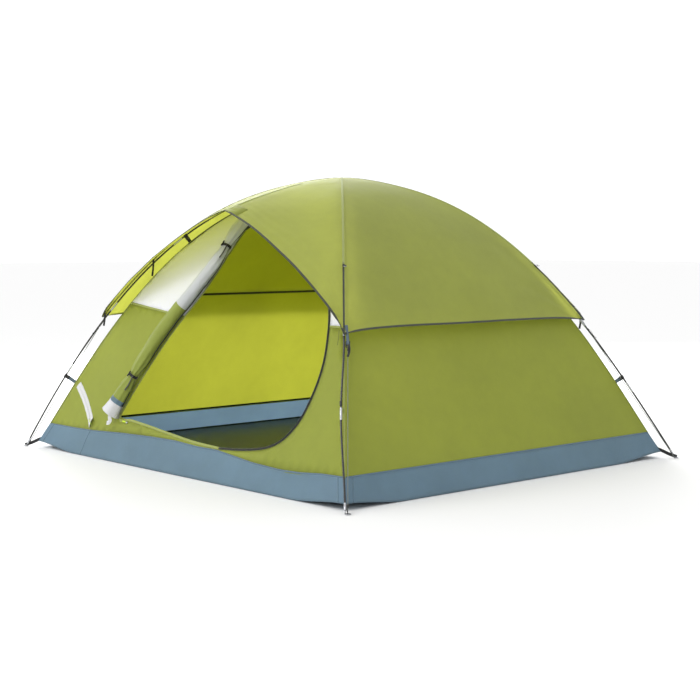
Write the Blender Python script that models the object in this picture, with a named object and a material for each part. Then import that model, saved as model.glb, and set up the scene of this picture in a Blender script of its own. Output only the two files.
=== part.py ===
"""A free-standing dome tent: a fabric cabin hung from two crossed poles, with a fly over its top.

The floor is FLOOR_WIDTH (X, the door side) by FLOOR_DEPTH (Y). The origin is the middle of the
floor's underside, +Z is up and the door is in the -Y wall. The two main poles run along the
floor's diagonals, so most shapes are written with rho, the distance from the origin along a
diagonal: a wall at rho stands at x = rho * DIAG_X or at y = rho * DIAG_Y.
"""

import math

import bmesh
import bpy
import numpy as np
from mathutils import Vector
from mathutils.geometry import delaunay_2d_cdt

# ---- driving dimensions, metres ----
FLOOR_WIDTH = 2.40
FLOOR_DEPTH = 2.10
HALF_DIAGONAL = math.hypot(FLOOR_WIDTH, FLOOR_DEPTH) / 2
DIAG_X = FLOOR_WIDTH / 2 / HALF_DIAGONAL
DIAG_Y = FLOOR_DEPTH / 2 / HALF_DIAGONAL
FABRIC = 0.002
GAP = 0.0004

# cabin corner seam: z = H * (1 - (rho / A) ** P) ** (1 / Q)
CABIN_A = 1.609
CABIN_H = 1.332
CABIN_P = 2.306
CABIN_Q = 0.906
TUB_HEIGHT = 0.120
TUB_CORNER_LIFT = 0.027
TUB_LIFT_REACH = 0.35
SIDE_SEAM_Z = 0.785
FRONT_SEAM_Z = 0.700

# poles: z = H * (1 - (rho / A) ** P), and near the crossing one rises over the other
POLE_A = 1.6604
POLE_H = 1.353
POLE_P = 2.268
POLE_RADIUS = 0.00425
CROSSING_RISE = 0.0056
CROSSING_REACH = 0.30
POLE_SIDES = 8
POLE_SPAN = 0.055
FERRULE_RADIUS = 0.0050
FERRULE_LENGTH = 0.055
ARCH_SECTIONS = 6
TIP_LENGTH = 0.030
TIP_BORE_RADIUS = 0.0025
TIP_BORE_DEPTH = 0.020
POLE_END_Z = 0.014
FRONT_LEG_BOW = 0.014
REAR_LEAN = 0.037
SLOPE_STEP = 0.001

# fly: as a pole, a little higher, with a peak where the brow pole crosses
FLY_A = 1.680
FLY_H = 1.3645
FLY_P = 2.268
FLY_PEAK = 0.018
FLY_PEAK_REACH = 0.22
FLY_HEM_Z = 0.697
FLY_CORNER_Z = 0.678
BROW_REACH = 0.735
BROW_DROP = 0.174
BROW_POWER = 1.5
HEM_POWER = 1.22
FLY_APEX_SHARE = 0.008
BROW_POLE_RADIUS = 0.0040
BROW_POLE_REACH = 0.722
BROW_POLE_GAP = 0.0015

# pole clips
CLIP_INNER = 0.0047
CLIP_OUTER = 0.0065
CLIP_LEG = 0.0035
CLIP_STEM = 0.003
CLIP_WIDTH = 0.020
CLIP_SEAM_GAP = 0.0015
LOWER_CLIP_RHO = {"front_left": 1.441, "front_right": 1.417, "rear_right": 1.425, "rear_left": 1.417}
UPPER_CLIP_RHO = 0.800

# feet
WIRE_RADIUS = 0.0020
RING_RADIUS = 0.011
RING_RHO = POLE_A + 0.004
RING_TURN = math.radians(325)
PIN_LENGTH = 0.016

# fly corner buckles and tension cords
BUCKLE_SIZE = (0.020, 0.032, 0.004)
CORD_RADIUS = 0.0015
CORD_SIDE = 0.016
CORD_POINTS = 16
CORD_OVER_RING = 0.0012

# door
DOOR_TOP_Z = 1.170
SEAM_CLEAR = 0.012
ROLL_HALF_WIDTH = 0.042
ROLL_HALF_DEPTH = 0.030
ROLL_PINCH = 0.40
ROLL_PINCH_REACH = 0.032
TIE_BAND = 0.010
TIE_THICK = 0.0018
TIE_CLEAR = 0.0030
ROLL_CLEAR = 0.0030
TOGGLE_CLEAR = 0.0008
TOGGLE_RADIUS = 0.0035
TOGGLE_LENGTH = 0.030

# from the ground up, the lengths of each leg's lowest two pole sections
LEG_SECTIONS = {
    "front_left": (0.460, 0.400),
    "front_right": (0.411, 0.398),
    "rear_right": (0.386, 0.381),
    "rear_left": (0.400, 0.400),
}
POLE_ENDS = {"pole_a": ("front_left", "rear_right"), "pole_b": ("front_right", "rear_left")}
CORNERS = {
    "front_left": (-1, -1),
    "front_right": (1, -1),
    "rear_right": (1, 1),
    "rear_left": (-1, 1),
}


# ---- profiles along a diagonal ----
def cabin_z(rho):
    return CABIN_H * max(0.0, 1 - (rho / CABIN_A) ** CABIN_P) ** (1 / CABIN_Q)


def cabin_rho(z):
    return CABIN_A * max(0.0, 1 - (z / CABIN_H) ** CABIN_Q) ** (1 / CABIN_P)


def pole_z(rho, over):
    """The pole's centre; over is +1 for the pole on top at the crossing and -1 for the other."""
    rho = abs(rho)
    arch = POLE_H * (1 - (rho / POLE_A) ** POLE_P)
    return arch + over * CROSSING_RISE * math.exp(-((rho / CROSSING_REACH) ** 2))


def fly_z(rho):
    peak = FLY_PEAK * math.exp(-((rho / FLY_PEAK_REACH) ** 2))
    return FLY_H * (1 - (rho / FLY_A) ** FLY_P) + peak


def fly_rho(z):
    return FLY_A * (1 - z / FLY_H) ** (1 / FLY_P)


def brow_z(y):
    return FLY_H + FLY_PEAK - BROW_DROP * (abs(y) / BROW_REACH) ** BROW_POWER


def rear_lean(rho):
    """How far the rear right ridge stands in from where the other three stand."""
    share = min(1.0, abs(rho) / POLE_A)
    return REAR_LEAN * (1 - (1 - share) ** 3) * (1 - share**8)


def lean_in(p):
    """Moves a point of the fly with the rear right ridge, less and less towards the walls' middles."""
    along_x = p[0] / DIAG_X
    along_y = p[1] / DIAG_Y
    rho = max(abs(along_x), abs(along_y))
    near = max(0.0, min(along_x, along_y) / rho)
    shift = rear_lean(rho) * near * near * (3 - 2 * near)
    return (p[0] - shift * DIAG_X, p[1] - shift * DIAG_Y, p[2])


# ---- making objects ----
def clear_scene():
    for thing in list(bpy.data.objects):
        bpy.data.objects.remove(thing, do_unlink=True)


def material(name, colour, roughness, metallic=0.0):
    made = bpy.data.materials.new(name)
    made.use_nodes = True
    made.diffuse_color = (*colour, 1)
    shader = made.node_tree.nodes["Principled BSDF"]
    shader.inputs["Base Color"].default_value = (*colour, 1)
    shader.inputs["Roughness"].default_value = roughness
    shader.inputs["Metallic"].default_value = metallic
    return made


def link(name, data, mat, origin=(0, 0, 0)):
    thing = bpy.data.objects.new(name, data)
    thing.location = origin
    data.materials.append(mat)
    bpy.context.scene.collection.objects.link(thing)
    return thing


def add_mesh(name, points, faces, mat, origin=(0, 0, 0), sharp=40):
    """A closed object facing out; its points are in the world and its own origin is at origin."""
    mesh = bpy.data.meshes.new(name)
    mesh.from_pydata([Vector(p) - Vector(origin) for p in points], [], faces)
    work = bmesh.new()
    work.from_mesh(mesh)
    bmesh.ops.recalc_face_normals(work, faces=work.faces)
    work.to_mesh(mesh)
    work.free()
    mesh.shade_smooth()
    mesh.set_sharp_from_angle(angle=math.radians(sharp))
    return link(name, mesh, mat, origin)


def triangles(faces):
    """Each face as triangles, split the same way wherever it is repeated."""
    return [(face[0], face[k], face[k + 1]) for face in faces for k in range(1, len(face) - 1)]


def add_shell(name, points, faces, inner, mat):
    """A closed skin from a sheet: the sheet, inner(point) for its other side, and a rim."""
    count = len(points)
    both = [tuple(p) for p in points] + [tuple(inner(p)) for p in points]
    front = triangles(faces)
    edges = {edge for face in front for edge in zip(face, face[1:] + face[:1])}
    rim = [(b, a, a + count, b + count) for a, b in sorted(edges) if (b, a) not in edges]
    back = [tuple(i + count for i in reversed(face)) for face in front]
    return add_mesh(name, both, front + back + rim, mat)


def grid_faces(rows, columns, first=0):
    faces = []
    for r in range(rows - 1):
        for c in range(columns - 1):
            a = first + r * columns + c
            faces.append((a, a + 1, a + columns + 1, a + columns))
    return faces


def add_loft(name, rings, mat, closed=False, origin=(0, 0, 0)):
    """Rings of equal count joined into a tube, with a cap at each end unless it is closed."""
    count = len(rings[0])
    points = [p for ring in rings for p in ring]
    faces = []
    spans = len(rings) if closed else len(rings) - 1
    for r in range(spans):
        low = r * count
        high = (r + 1) % len(rings) * count
        for c in range(count):
            d = (c + 1) % count
            faces.append((low + c, low + d, high + d, high + c))
    if not closed:
        last = (len(rings) - 1) * count
        faces.append(tuple(reversed(range(count))))
        faces.append(tuple(last + c for c in range(count)))
    return add_mesh(name, points, faces, mat, origin)


def add_wire(name, points, radius, mat):
    curve = bpy.data.curves.new(name, "CURVE")
    curve.dimensions = "3D"
    curve.bevel_depth = radius
    curve.bevel_resolution = 2
    curve.use_fill_caps = True
    spline = curve.splines.new("POLY")
    spline.points.add(len(points) - 1)
    for spot, point in zip(spline.points, points):
        spot.co = (*point, 1)
    return link(name, curve, mat)


def smooth_path(points, count):
    """count points, evenly spaced, on a Catmull-Rom curve through the given ones."""
    p = [np.array(q, float) for q in points]
    p = [2 * p[0] - p[1]] + p + [2 * p[-1] - p[-2]]
    fine = []
    for a, b, c, d in zip(p, p[1:], p[2:], p[3:]):
        for t in np.linspace(0, 1, 20, endpoint=False):
            bend = (2 * a - 5 * b + 4 * c - d) * t * t + (3 * b - a - 3 * c + d) * t**3
            fine.append(0.5 * (2 * b + (c - a) * t + bend))
    fine = np.array(fine + [p[-2]])
    steps = np.linalg.norm(np.diff(fine, axis=0), axis=1)
    along = np.concatenate([[0], np.cumsum(steps)])
    at = np.linspace(0, along[-1], count)
    return np.stack([np.interp(at, along, fine[:, k]) for k in range(fine.shape[1])], axis=1)


# ---- fabric panels ----
def shrink(a, h):
    """Moves a point of a domed skin to the skin's inner side; diagonals stay on diagonals."""
    flat = 1 - FABRIC / a
    tall = 1 - FABRIC / h
    return lambda p: (p[0] * flat, p[1] * flat, p[2] * tall)


cabin_inner = shrink(CABIN_A, CABIN_H)
fly_inner = shrink(FLY_A, FLY_H)


def wall_place(side, across, rho, z):
    """A point of a wall: across runs from -1 to 1 along it, at the height z where it stands at rho."""
    if side in ("left", "right"):
        sign = 1 if side == "right" else -1
        return (sign * rho * DIAG_X, sign * across * (rho * DIAG_Y - GAP), z)
    sign = 1 if side == "rear" else -1
    return (-sign * across * (rho * DIAG_X - GAP), sign * rho * DIAG_Y, z)


def add_cabin_wall(side, low_z, high_z, mat, rows=9, columns=7):
    points = []
    for z in np.linspace(low_z + GAP, high_z, rows):
        for across in np.linspace(-1, 1, columns):
            points.append(wall_place(side, across, cabin_rho(z), z))
    add_shell(f"{side}_wall", points, grid_faces(rows, columns), cabin_inner, mat)


def add_roof_canopy(mat, rows=12, columns=5):
    """The upper cabin on its left, rear and right sides, from the side seams to the apex."""
    low = cabin_rho(SIDE_SEAM_Z + GAP)
    points = []
    for rho in low * np.linspace(1, 0.004, rows):
        ring = []
        for side in ("right", "rear", "left"):
            for across in np.linspace(-1, 1, columns)[(side != "right") :]:
                x, y, z = wall_place(side, across, rho, cabin_z(rho))
                ring.append((x, y, z))
        points += ring
    width = 3 * columns - 2
    add_shell("roof_canopy", points, grid_faces(rows, width), cabin_inner, mat)


def corner_lift(x, y):
    """How far the floor's edge rises near a corner, where the pole's foot pulls it up."""
    away = math.hypot(FLOOR_WIDTH / 2 - abs(x), FLOOR_DEPTH / 2 - abs(y))
    near = max(0.0, 1 - away / TUB_LIFT_REACH)
    return TUB_CORNER_LIFT * near * near * (3 - 2 * near)


def add_floor_tub(mat):
    """The floor and its turned-up edge, one tray."""
    steps = [-1, -0.93, -0.84, -0.72, -0.45, 0, 0.45, 0.72, 0.84, 0.93, 1]
    count = len(steps)
    points = []
    for v in steps:
        for u in steps:
            x = u * FLOOR_WIDTH / 2
            y = v * FLOOR_DEPTH / 2
            points.append((x, y, corner_lift(x, y)))
    faces = [tuple(reversed(face)) for face in grid_faces(count, count)]
    edge = [c for c in range(count)]
    edge += [r * count + count - 1 for r in range(1, count)]
    edge += [count * count - 1 - c for c in range(1, count)]
    edge += [r * count for r in range(count - 2, 0, -1)]
    top = cabin_rho(TUB_HEIGHT) / HALF_DIAGONAL
    below = edge
    for share in (0.5, 1.0):
        first = len(points)
        for i in edge:
            x, y, z = points[i]
            pull = 1 + (top - 1) * share
            points.append((x * pull, y * pull, z + (TUB_HEIGHT - z) * share))
        above = list(range(first, first + len(edge)))
        for k in range(len(edge)):
            n = (k + 1) % len(edge)
            faces.append((below[k], below[n], above[n], above[k]))
        below = above
    pull = 1 - FABRIC / (FLOOR_WIDTH / 2)
    add_shell(
        "floor_tub",
        points,
        faces,
        lambda p: (p[0] * pull, p[1] * pull, p[2] + FABRIC * (1 - p[2] / TUB_HEIGHT)),
        mat,
    )


# ---- the front wall, with the door's opening ----
def hinge_line():
    """The door's sewn side, from the sill to the top, as (x, z)."""
    return smooth_path(
        [
            (-0.540, 0.205),
            (-0.465, 0.400),
            (-0.355, 0.625),
            (-0.240, 0.820),
            (-0.195, 1.000),
            (-0.190, 1.120),
        ],
        16,
    )


def zip_line():
    """The door's zipped side, from the top, down the right and back along the sill, as (x, z)."""
    return smooth_path(
        [
            (-0.190, 1.120),
            (-0.100, DOOR_TOP_Z),
            (0.250, 1.110),
            (0.520, 0.965),
            (0.730, 0.752),
            (0.800, 0.550),
            (0.805, 0.400),
            (0.720, 0.238),
            (0.520, 0.170),
            (0.300, 0.146),
            (0.000, 0.160),
            (-0.400, 0.195),
            (-0.540, 0.205),
        ],
        44,
    )


def front_place(x, z):
    return (x, -cabin_rho(z) * DIAG_Y, z)


def seam_side(z_low, z_high, sign, count):
    """Points up a corner seam of the front wall, as (x, z)."""
    heights = np.linspace(z_low, z_high, count)
    return [(sign * (cabin_rho(z) * DIAG_X - GAP), z) for z in heights]


def spread_line(a, b, step):
    count = max(1, round(math.dist(a, b) / step))
    return [tuple(np.array(a) + (np.array(b) - np.array(a)) * i / count) for i in range(count)]


def add_front_panel(name, outline, mat, step=0.10):
    """A panel of the front wall whose outline is a loop of (x, z), anticlockwise seen from outside.

    It is triangulated in (x, rho), which keeps the shallow part near the apex even.
    """
    loop = [Vector((x, -cabin_rho(z))) for x, z in outline]
    xs = [p.x for p in loop]
    ys = [p.y for p in loop]
    free = []
    for x in np.arange(min(xs) + step, max(xs), step):
        for y in np.arange(min(ys) + step, max(ys), step):
            spot = Vector((x, y))
            if min((spot - p).length for p in loop) > 0.45 * step:
                free.append(spot)
    count = len(loop)
    edges = [(i, (i + 1) % count) for i in range(count)]
    made, _, faces, *_ = delaunay_2d_cdt(loop + free, edges, [tuple(range(count))], 1, 1e-6)
    points = [(p.x, p.y * DIAG_Y, cabin_z(-p.y)) for p in made]
    faces = [tuple(f) for f in faces]
    a, b, c = (made[i] for i in faces[0][:3])
    if (b - a).cross(c - a) < 0:
        faces = [tuple(reversed(f)) for f in faces]
    add_shell(name, points, faces, cabin_inner, mat)


def crossing(line, z):
    """Where a line of (x, z) crosses the height z."""
    for a, b in zip(line, line[1:]):
        if (a[1] - z) * (b[1] - z) <= 0:
            return (a[0] + (b[0] - a[0]) * (z - a[1]) / (b[1] - a[1]), z)
    raise ValueError("the line never crosses that height")


def add_front_wall(fabric, mesh):
    low = TUB_HEIGHT + GAP
    seam = FRONT_SEAM_Z
    hinge = hinge_line()
    zipped = zip_line()
    hinge_below = [tuple(p) for p in hinge if p[1] < seam - SEAM_CLEAR]
    zip_above = [tuple(p) for p in zipped[1:] if p[1] > seam + SEAM_CLEAR]
    zip_below = [tuple(p) for p in zipped[1:-1] if p[1] < seam - SEAM_CLEAR]
    hinge_cross = crossing(hinge, seam)
    zip_cross = crossing(zipped, seam)
    left_up = seam_side(low, seam, -1, 7)
    right_up = seam_side(low, seam, 1, 7)
    outline = spread_line(left_up[0], right_up[0], 0.13)
    outline += right_up[:-1]
    outline += spread_line(right_up[-1], zip_cross, 0.08)
    outline += [zip_cross] + zip_below + hinge_below + [hinge_cross]
    outline += spread_line(hinge_cross, left_up[-1], 0.10)[1:]
    outline += list(reversed(left_up))[:-1]
    add_front_panel("front_wall", outline, fabric)

    high = seam + GAP
    hinge_above = [tuple(p) for p in hinge if p[1] > seam + SEAM_CLEAR]
    hinge_cross = crossing(hinge, high)
    zip_cross = crossing(zipped, high)
    tops = [cabin_z(r) for r in np.linspace(cabin_rho(high), 0.02, 12)]
    right_side = [(cabin_rho(z) * DIAG_X - GAP, z) for z in tops]
    left_side = [(-x, z) for x, z in reversed(right_side)]
    outline = spread_line(left_side[-1], hinge_cross, 0.10) + [hinge_cross]
    outline += hinge_above + zip_above + [zip_cross]
    outline += spread_line(zip_cross, right_side[0], 0.08)[1:]
    outline += right_side + left_side[:-1]
    add_front_panel("front_mesh", outline, mesh)


# ---- the fly ----
def hem_height(x):
    """The front hem of the fly, from the brow's tip down to a corner."""
    tip = brow_z(BROW_REACH)
    share = min(1.0, abs(x) / (fly_rho(FLY_CORNER_Z) * DIAG_X))
    return FLY_CORNER_Z + (tip - FLY_CORNER_Z) * (1 - share**HEM_POWER) ** (1 / HEM_POWER)


def fly_end_place(across, along):
    """A point of the front half-panel: across runs from the brow (0) to the corner pole (1)."""
    rho = along * fly_rho(FLY_CORNER_Z)
    ridge = np.array([rho * DIAG_X - GAP, rho * DIAG_Y, fly_z(rho)])
    y = along * BROW_REACH
    brow = np.array([0, y, brow_z(y)])
    point = brow + (ridge - brow) * across
    corner = np.array([fly_rho(FLY_CORNER_Z) * DIAG_X, 0, FLY_CORNER_Z])
    straight = brow_z(BROW_REACH) + (FLY_CORNER_Z - brow_z(BROW_REACH)) * across
    point[2] += (hem_height(across * corner[0]) - straight) * along**3
    return point


def add_fly_end(side, mat, rows=13, half=6):
    """The front or rear panel, which the brow pole lifts along its middle."""
    sign = -1 if side == "front" else 1
    points = []
    for along in np.linspace(1, FLY_APEX_SHARE, rows):
        for k in range(-half, half + 1):
            x, y, z = fly_end_place(abs(k) / half, along)
            points.append(lean_in((x * np.sign(k) * -sign, sign * y, z)))
    add_shell(f"fly_{side}", points, grid_faces(rows, 2 * half + 1), fly_inner, mat)


def add_fly_side(side, mat, rows=13, columns=9):
    points = []
    for along in np.linspace(1, FLY_APEX_SHARE, rows):
        for across in np.linspace(-1, 1, columns):
            hem = FLY_HEM_Z - (FLY_HEM_Z - FLY_CORNER_Z) * abs(across) ** 6
            rho = along * fly_rho(hem)
            points.append(lean_in(wall_place(side, across, rho, fly_z(rho))))
    add_shell(f"fly_{side}", points, grid_faces(rows, columns), fly_inner, mat)


# ---- the poles ----
class PolePath:
    """The centre line of a main pole, from the foot at one corner to the foot at the other."""

    def __init__(self, start, over):
        self.start = start
        self.over = over
        rho = np.linspace(-POLE_A, POLE_A, 4001)
        z = np.array([pole_z(r, over) for r in rho])
        keep = z >= POLE_END_Z
        self.rho = rho[keep]
        steps = np.hypot(np.diff(self.rho), np.diff(z[keep]))
        self.along = np.concatenate([[0], np.cumsum(steps)])
        self.length = self.along[-1]

    def place(self, rho):
        """rho is negative towards the starting corner."""
        sx, sy = self.start
        leans = self.start == CORNERS["front_left"] and rho > 0
        reach = rho - rear_lean(rho) if leans else rho
        x = -reach * sx * DIAG_X
        y = -reach * sy * DIAG_Y
        return Vector((x, y, pole_z(rho, self.over))) + self.bow(rho)

    def bow(self, rho):
        """The leg at the front right corner leans a little sideways between the fly and its foot."""
        if self.start != CORNERS["front_right"] or rho > -fly_rho(FLY_CORNER_Z):
            return Vector((0, 0, 0))
        share = (-rho - fly_rho(FLY_CORNER_Z)) / (POLE_A - fly_rho(FLY_CORNER_Z))
        side = Vector((-DIAG_Y, -DIAG_X, 0))
        return side * FRONT_LEG_BOW * math.sin(math.pi * min(1.0, share)) ** 2

    def frame(self, s):
        """Centre, direction and two crossing directions at the length s along the pole."""
        rho = float(np.interp(s, self.along, self.rho))
        here = self.place(rho)
        ahead = (self.place(rho + SLOPE_STEP) - self.place(rho - SLOPE_STEP)).normalized()
        sx, sy = self.start
        level = Vector((sy * DIAG_Y, -sx * DIAG_X, 0)).normalized()
        up = ahead.cross(level).normalized()
        return here, ahead, up, ahead.cross(up).normalized()


def ring_on(path, s, radius, sides=POLE_SIDES, shift=0.0):
    here, ahead, up, across = path.frame(s)
    turns = [2 * math.pi * k / sides for k in range(sides)]
    return [here + ahead * shift + (up * math.cos(t) + across * math.sin(t)) * radius for t in turns]


def add_pole(name, over, pole_mat):
    """Sections that butt end to end; each but the last carries the ferrule that holds the next."""
    start, end = POLE_ENDS[name]
    path = PolePath(CORNERS[start], over)
    legs = [*LEG_SECTIONS[start], *reversed(LEG_SECTIONS[end])]
    arch = (path.length - sum(legs)) / ARCH_SECTIONS
    lengths = legs[:2] + [arch] * ARCH_SECTIONS + legs[2:]
    ends = np.concatenate([[0], np.cumsum(lengths)])
    for k, (low, high) in enumerate(zip(ends, ends[1:])):
        first = k == 0
        last = k == len(lengths) - 1
        low += 0 if first else FERRULE_LENGTH / 2 + GAP
        high += 0 if last else FERRULE_LENGTH / 2
        marks = []
        if first:
            marks += [(TIP_BORE_DEPTH, TIP_BORE_RADIUS), (0, TIP_BORE_RADIUS), (0, FERRULE_RADIUS)]
            marks += [(TIP_LENGTH, FERRULE_RADIUS), (TIP_LENGTH, POLE_RADIUS)]
        else:
            marks += [(low, POLE_RADIUS)]
        far = path.length - TIP_LENGTH if last else high - FERRULE_LENGTH
        near = TIP_LENGTH if first else low
        spans = math.ceil((far - near) / POLE_SPAN)
        marks += [(s, POLE_RADIUS) for s in np.linspace(near, far, spans + 1)[1:]]
        marks += [(far, FERRULE_RADIUS), (path.length if last else high, FERRULE_RADIUS)]
        if last:
            marks += [(path.length, TIP_BORE_RADIUS)]
            marks += [(path.length - TIP_BORE_DEPTH, TIP_BORE_RADIUS)]
        add_loft(f"{name}_section_{k + 1:02d}", [ring_on(path, s, r) for s, r in marks], pole_mat)


def add_brow_pole(mat):
    below = FABRIC + BROW_POLE_GAP + BROW_POLE_RADIUS
    rings = []
    for y in np.linspace(-BROW_POLE_REACH, BROW_POLE_REACH, 17):
        slope = (brow_z(y + SLOPE_STEP) - brow_z(y - SLOPE_STEP)) / (2 * SLOPE_STEP)
        up = Vector((0, -slope, 1)).normalized()
        here = Vector((0, y, brow_z(y))) - up * below
        level = Vector((1, 0, 0))
        rings.append(ellipse(here, up, level, BROW_POLE_RADIUS, BROW_POLE_RADIUS, POLE_SIDES))
    add_loft("brow_pole", rings, mat)


# ---- corner fittings ----
class Corner:
    """Directions at a corner: out along the diagonal, and side, level and towards the X wall."""

    def __init__(self, name):
        self.name = name
        sx, sy = CORNERS[name]
        self.out = Vector((sx * DIAG_X, sy * DIAG_Y, 0))
        self.side = Vector((sx * DIAG_Y, -sy * DIAG_X, 0))
        self.over = 1 if name in ("front_right", "rear_left") else -1
        self.bows = name == "front_right"

    def place(self, rho, z, side=0.0):
        return self.out * rho + Vector((0, 0, z)) + self.side * side

    def on_pole(self, rho):
        reach = rho - rear_lean(rho) if self.name == "rear_right" else rho
        return self.place(reach, pole_z(rho, self.over))

    def pole(self, rho):
        """The pole's centre, its upward direction and its outward normal."""
        here = self.on_pole(rho)
        above = self.on_pole(rho - SLOPE_STEP)
        below = self.on_pole(rho + SLOPE_STEP)
        bow = 0.0
        if self.bows and rho > fly_rho(FLY_CORNER_Z):
            share = (rho - fly_rho(FLY_CORNER_Z)) / (POLE_A - fly_rho(FLY_CORNER_Z))
            bow = FRONT_LEG_BOW * math.sin(math.pi * share) ** 2
        up = (above - below).normalized()
        normal = self.side.cross(up).normalized()
        if normal.dot(self.out) < 0:
            normal = -normal
        return here - self.side * bow, up, normal


SEAM_NEAREST = 0.005
SEAM_FARTHEST = 0.20
SEAM_STEP = 0.0005
PIN_KNEE_RISE = 0.004
RING_START_RISE = 0.0012
BUCKLE_CHAMFER = 0.004


def seam_reach(corner, here, normal):
    """How far the cabin's seam lies from a point of the pole, going inwards along -normal."""
    for reach in np.arange(SEAM_NEAREST, SEAM_FARTHEST, SEAM_STEP):
        spot = here - normal * reach
        if spot.z < cabin_z(spot.dot(corner.out)):
            return float(reach)
    raise ValueError("the seam is too far from the pole")


def clip_outline(reach):
    """The clip seen along the pole, as (outward, sideways): a hook open to +sideways, and its tab."""
    half = CLIP_STEM / 2
    turns = [math.radians(a) for a in range(0, 181, 20)]
    outline = [(CLIP_OUTER, CLIP_LEG)]
    outline += [(CLIP_OUTER * math.cos(t), -CLIP_OUTER * math.sin(t)) for t in turns[:-1]]
    outline += [(-math.sqrt(CLIP_OUTER**2 - half**2), -half), (-reach, -half), (-reach, half)]
    outline += [(-CLIP_OUTER, half), (-CLIP_OUTER, CLIP_LEG), (-CLIP_INNER, CLIP_LEG)]
    outline += [(CLIP_INNER * math.cos(t), -CLIP_INNER * math.sin(t)) for t in reversed(turns)]
    outline += [(CLIP_INNER, CLIP_LEG)]
    return outline


def add_clip(corner, level, rho, mat):
    here, up, normal = corner.pole(rho)
    reach = seam_reach(corner, here, normal) - CLIP_SEAM_GAP
    hinge = here - normal * reach
    outline = clip_outline(reach)
    rings = []
    for end in (-CLIP_WIDTH / 2, CLIP_WIDTH / 2):
        rings.append([here + normal * n + corner.side * s + up * end for n, s in outline])
    add_loft(f"pole_clip_{level}_{corner.name}", rings, mat, origin=hinge)


def add_foot_ring(corner, mat):
    """A wire pin that stands in the pole's end and turns into a flat ring for the peg."""
    end_rho = POLE_A * (1 - POLE_END_Z / POLE_H) ** (1 / POLE_P)
    end, up, _ = corner.pole(end_rho)
    top = end + up * PIN_LENGTH
    drop = (end.z - WIRE_RADIUS) / up.z
    knee = end - up * (drop - PIN_KNEE_RISE)
    points = [top, end, knee]
    points += [corner.place(POLE_A, WIRE_RADIUS + RING_START_RISE)]
    for turn in np.linspace(0, RING_TURN, 22):
        rho = RING_RHO + RING_RADIUS * math.sin(turn)
        side = RING_RADIUS - RING_RADIUS * math.cos(turn)
        points.append(corner.place(rho, WIRE_RADIUS, side))
    add_wire(f"foot_ring_{corner.name}", points, WIRE_RADIUS, mat)


def buckle_frame(corner):
    """The middle of a fly corner's buckle and its directions: down the leg, sideways, outwards."""
    rho = fly_rho(FLY_CORNER_Z) + 0.012
    here, up, normal = corner.pole(rho)
    return here + corner.side * CORD_SIDE, -up, corner.side, normal


def add_buckle(corner, mat):
    centre, down, side, out = buckle_frame(corner)
    wide, tall, thick = BUCKLE_SIZE
    cut = BUCKLE_CHAMFER
    outline = [(-wide / 2, cut - tall / 2), (cut - wide / 2, -tall / 2), (wide / 2 - cut, -tall / 2)]
    outline += [(wide / 2, cut - tall / 2), (wide / 2, tall / 2 - cut), (wide / 2 - cut, tall / 2)]
    outline += [(cut - wide / 2, tall / 2), (-wide / 2, tall / 2 - cut)]
    rings = []
    for end in (-thick / 2, thick / 2):
        rings.append([centre + side * a + down * b + out * end for a, b in outline])
    add_loft(f"fly_buckle_{corner.name}", rings, mat)


def cord_ends(corner):
    centre, down, _, _ = buckle_frame(corner)
    top = centre + down * (BUCKLE_SIZE[1] / 2 + GAP)
    height = 2 * WIRE_RADIUS + CORD_RADIUS + CORD_OVER_RING
    low = corner.place(RING_RHO - RING_RADIUS, height, RING_RADIUS)
    return top, low


def add_cord(corner, mat):
    top, low = cord_ends(corner)
    points = [top.lerp(low, t) for t in np.linspace(0, 1, CORD_POINTS)]
    add_wire(f"fly_cord_{corner.name}", points, CORD_RADIUS, mat)


# ---- the rolled-back door, its ties, the zips ----
def front_normal(z):
    rho = cabin_rho(z)
    slope = (cabin_z(rho + SLOPE_STEP) - cabin_z(rho - SLOPE_STEP)) / (2 * SLOPE_STEP)
    return Vector((0, slope, DIAG_Y)).normalized()


ROLL_LINE = [
    (-0.590, 0.212),
    (-0.500, 0.400),
    (-0.395, 0.625),
    (-0.275, 0.820),
    (-0.212, 0.960),
    (-0.195, 1.150),
]
TIE_HEIGHTS = {"lower": 0.400, "upper": 1.020}


def roll_frame(x, z, ahead):
    """Centre of the roll over the wall at (x, z), its normal and its width direction."""
    normal = front_normal(z)
    centre = Vector(front_place(x, z)) + normal * (ROLL_HALF_DEPTH + ROLL_CLEAR)
    return centre, normal, ahead.cross(normal).normalized()


def roll_stations(count=22):
    line = smooth_path(ROLL_LINE, count)
    spots = [Vector(front_place(x, z)) for x, z in line]
    stations = []
    for k, (x, z) in enumerate(line):
        ahead = (spots[min(k + 1, count - 1)] - spots[max(k - 1, 0)]).normalized()
        stations.append((roll_frame(x, z, ahead), z, ahead))
    return stations


def pinch(z):
    """How much of its size the roll keeps at the height z: less under each tie, and at its ends."""
    keep = 1.0
    for tie in TIE_HEIGHTS.values():
        keep -= ROLL_PINCH * math.exp(-(((z - tie) / ROLL_PINCH_REACH) ** 4))
    return keep


def ellipse(centre, normal, width, a, b, sides):
    turns = [2 * math.pi * k / sides for k in range(sides)]
    return [centre + width * (a * math.cos(t)) + normal * (b * math.sin(t)) for t in turns]


def add_door_roll(mat):
    rings = []
    for (centre, normal, width), z, _ in roll_stations(30):
        size = pinch(z)
        wide = ROLL_HALF_WIDTH * size
        deep = ROLL_HALF_DEPTH * size
        rings.append(ellipse(centre, normal, width, wide, deep, 12))
    add_loft("door_roll", rings, mat)


def tie_station(height):
    stations = roll_stations(120)
    return min(stations, key=lambda station: abs(station[1] - height))


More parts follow.
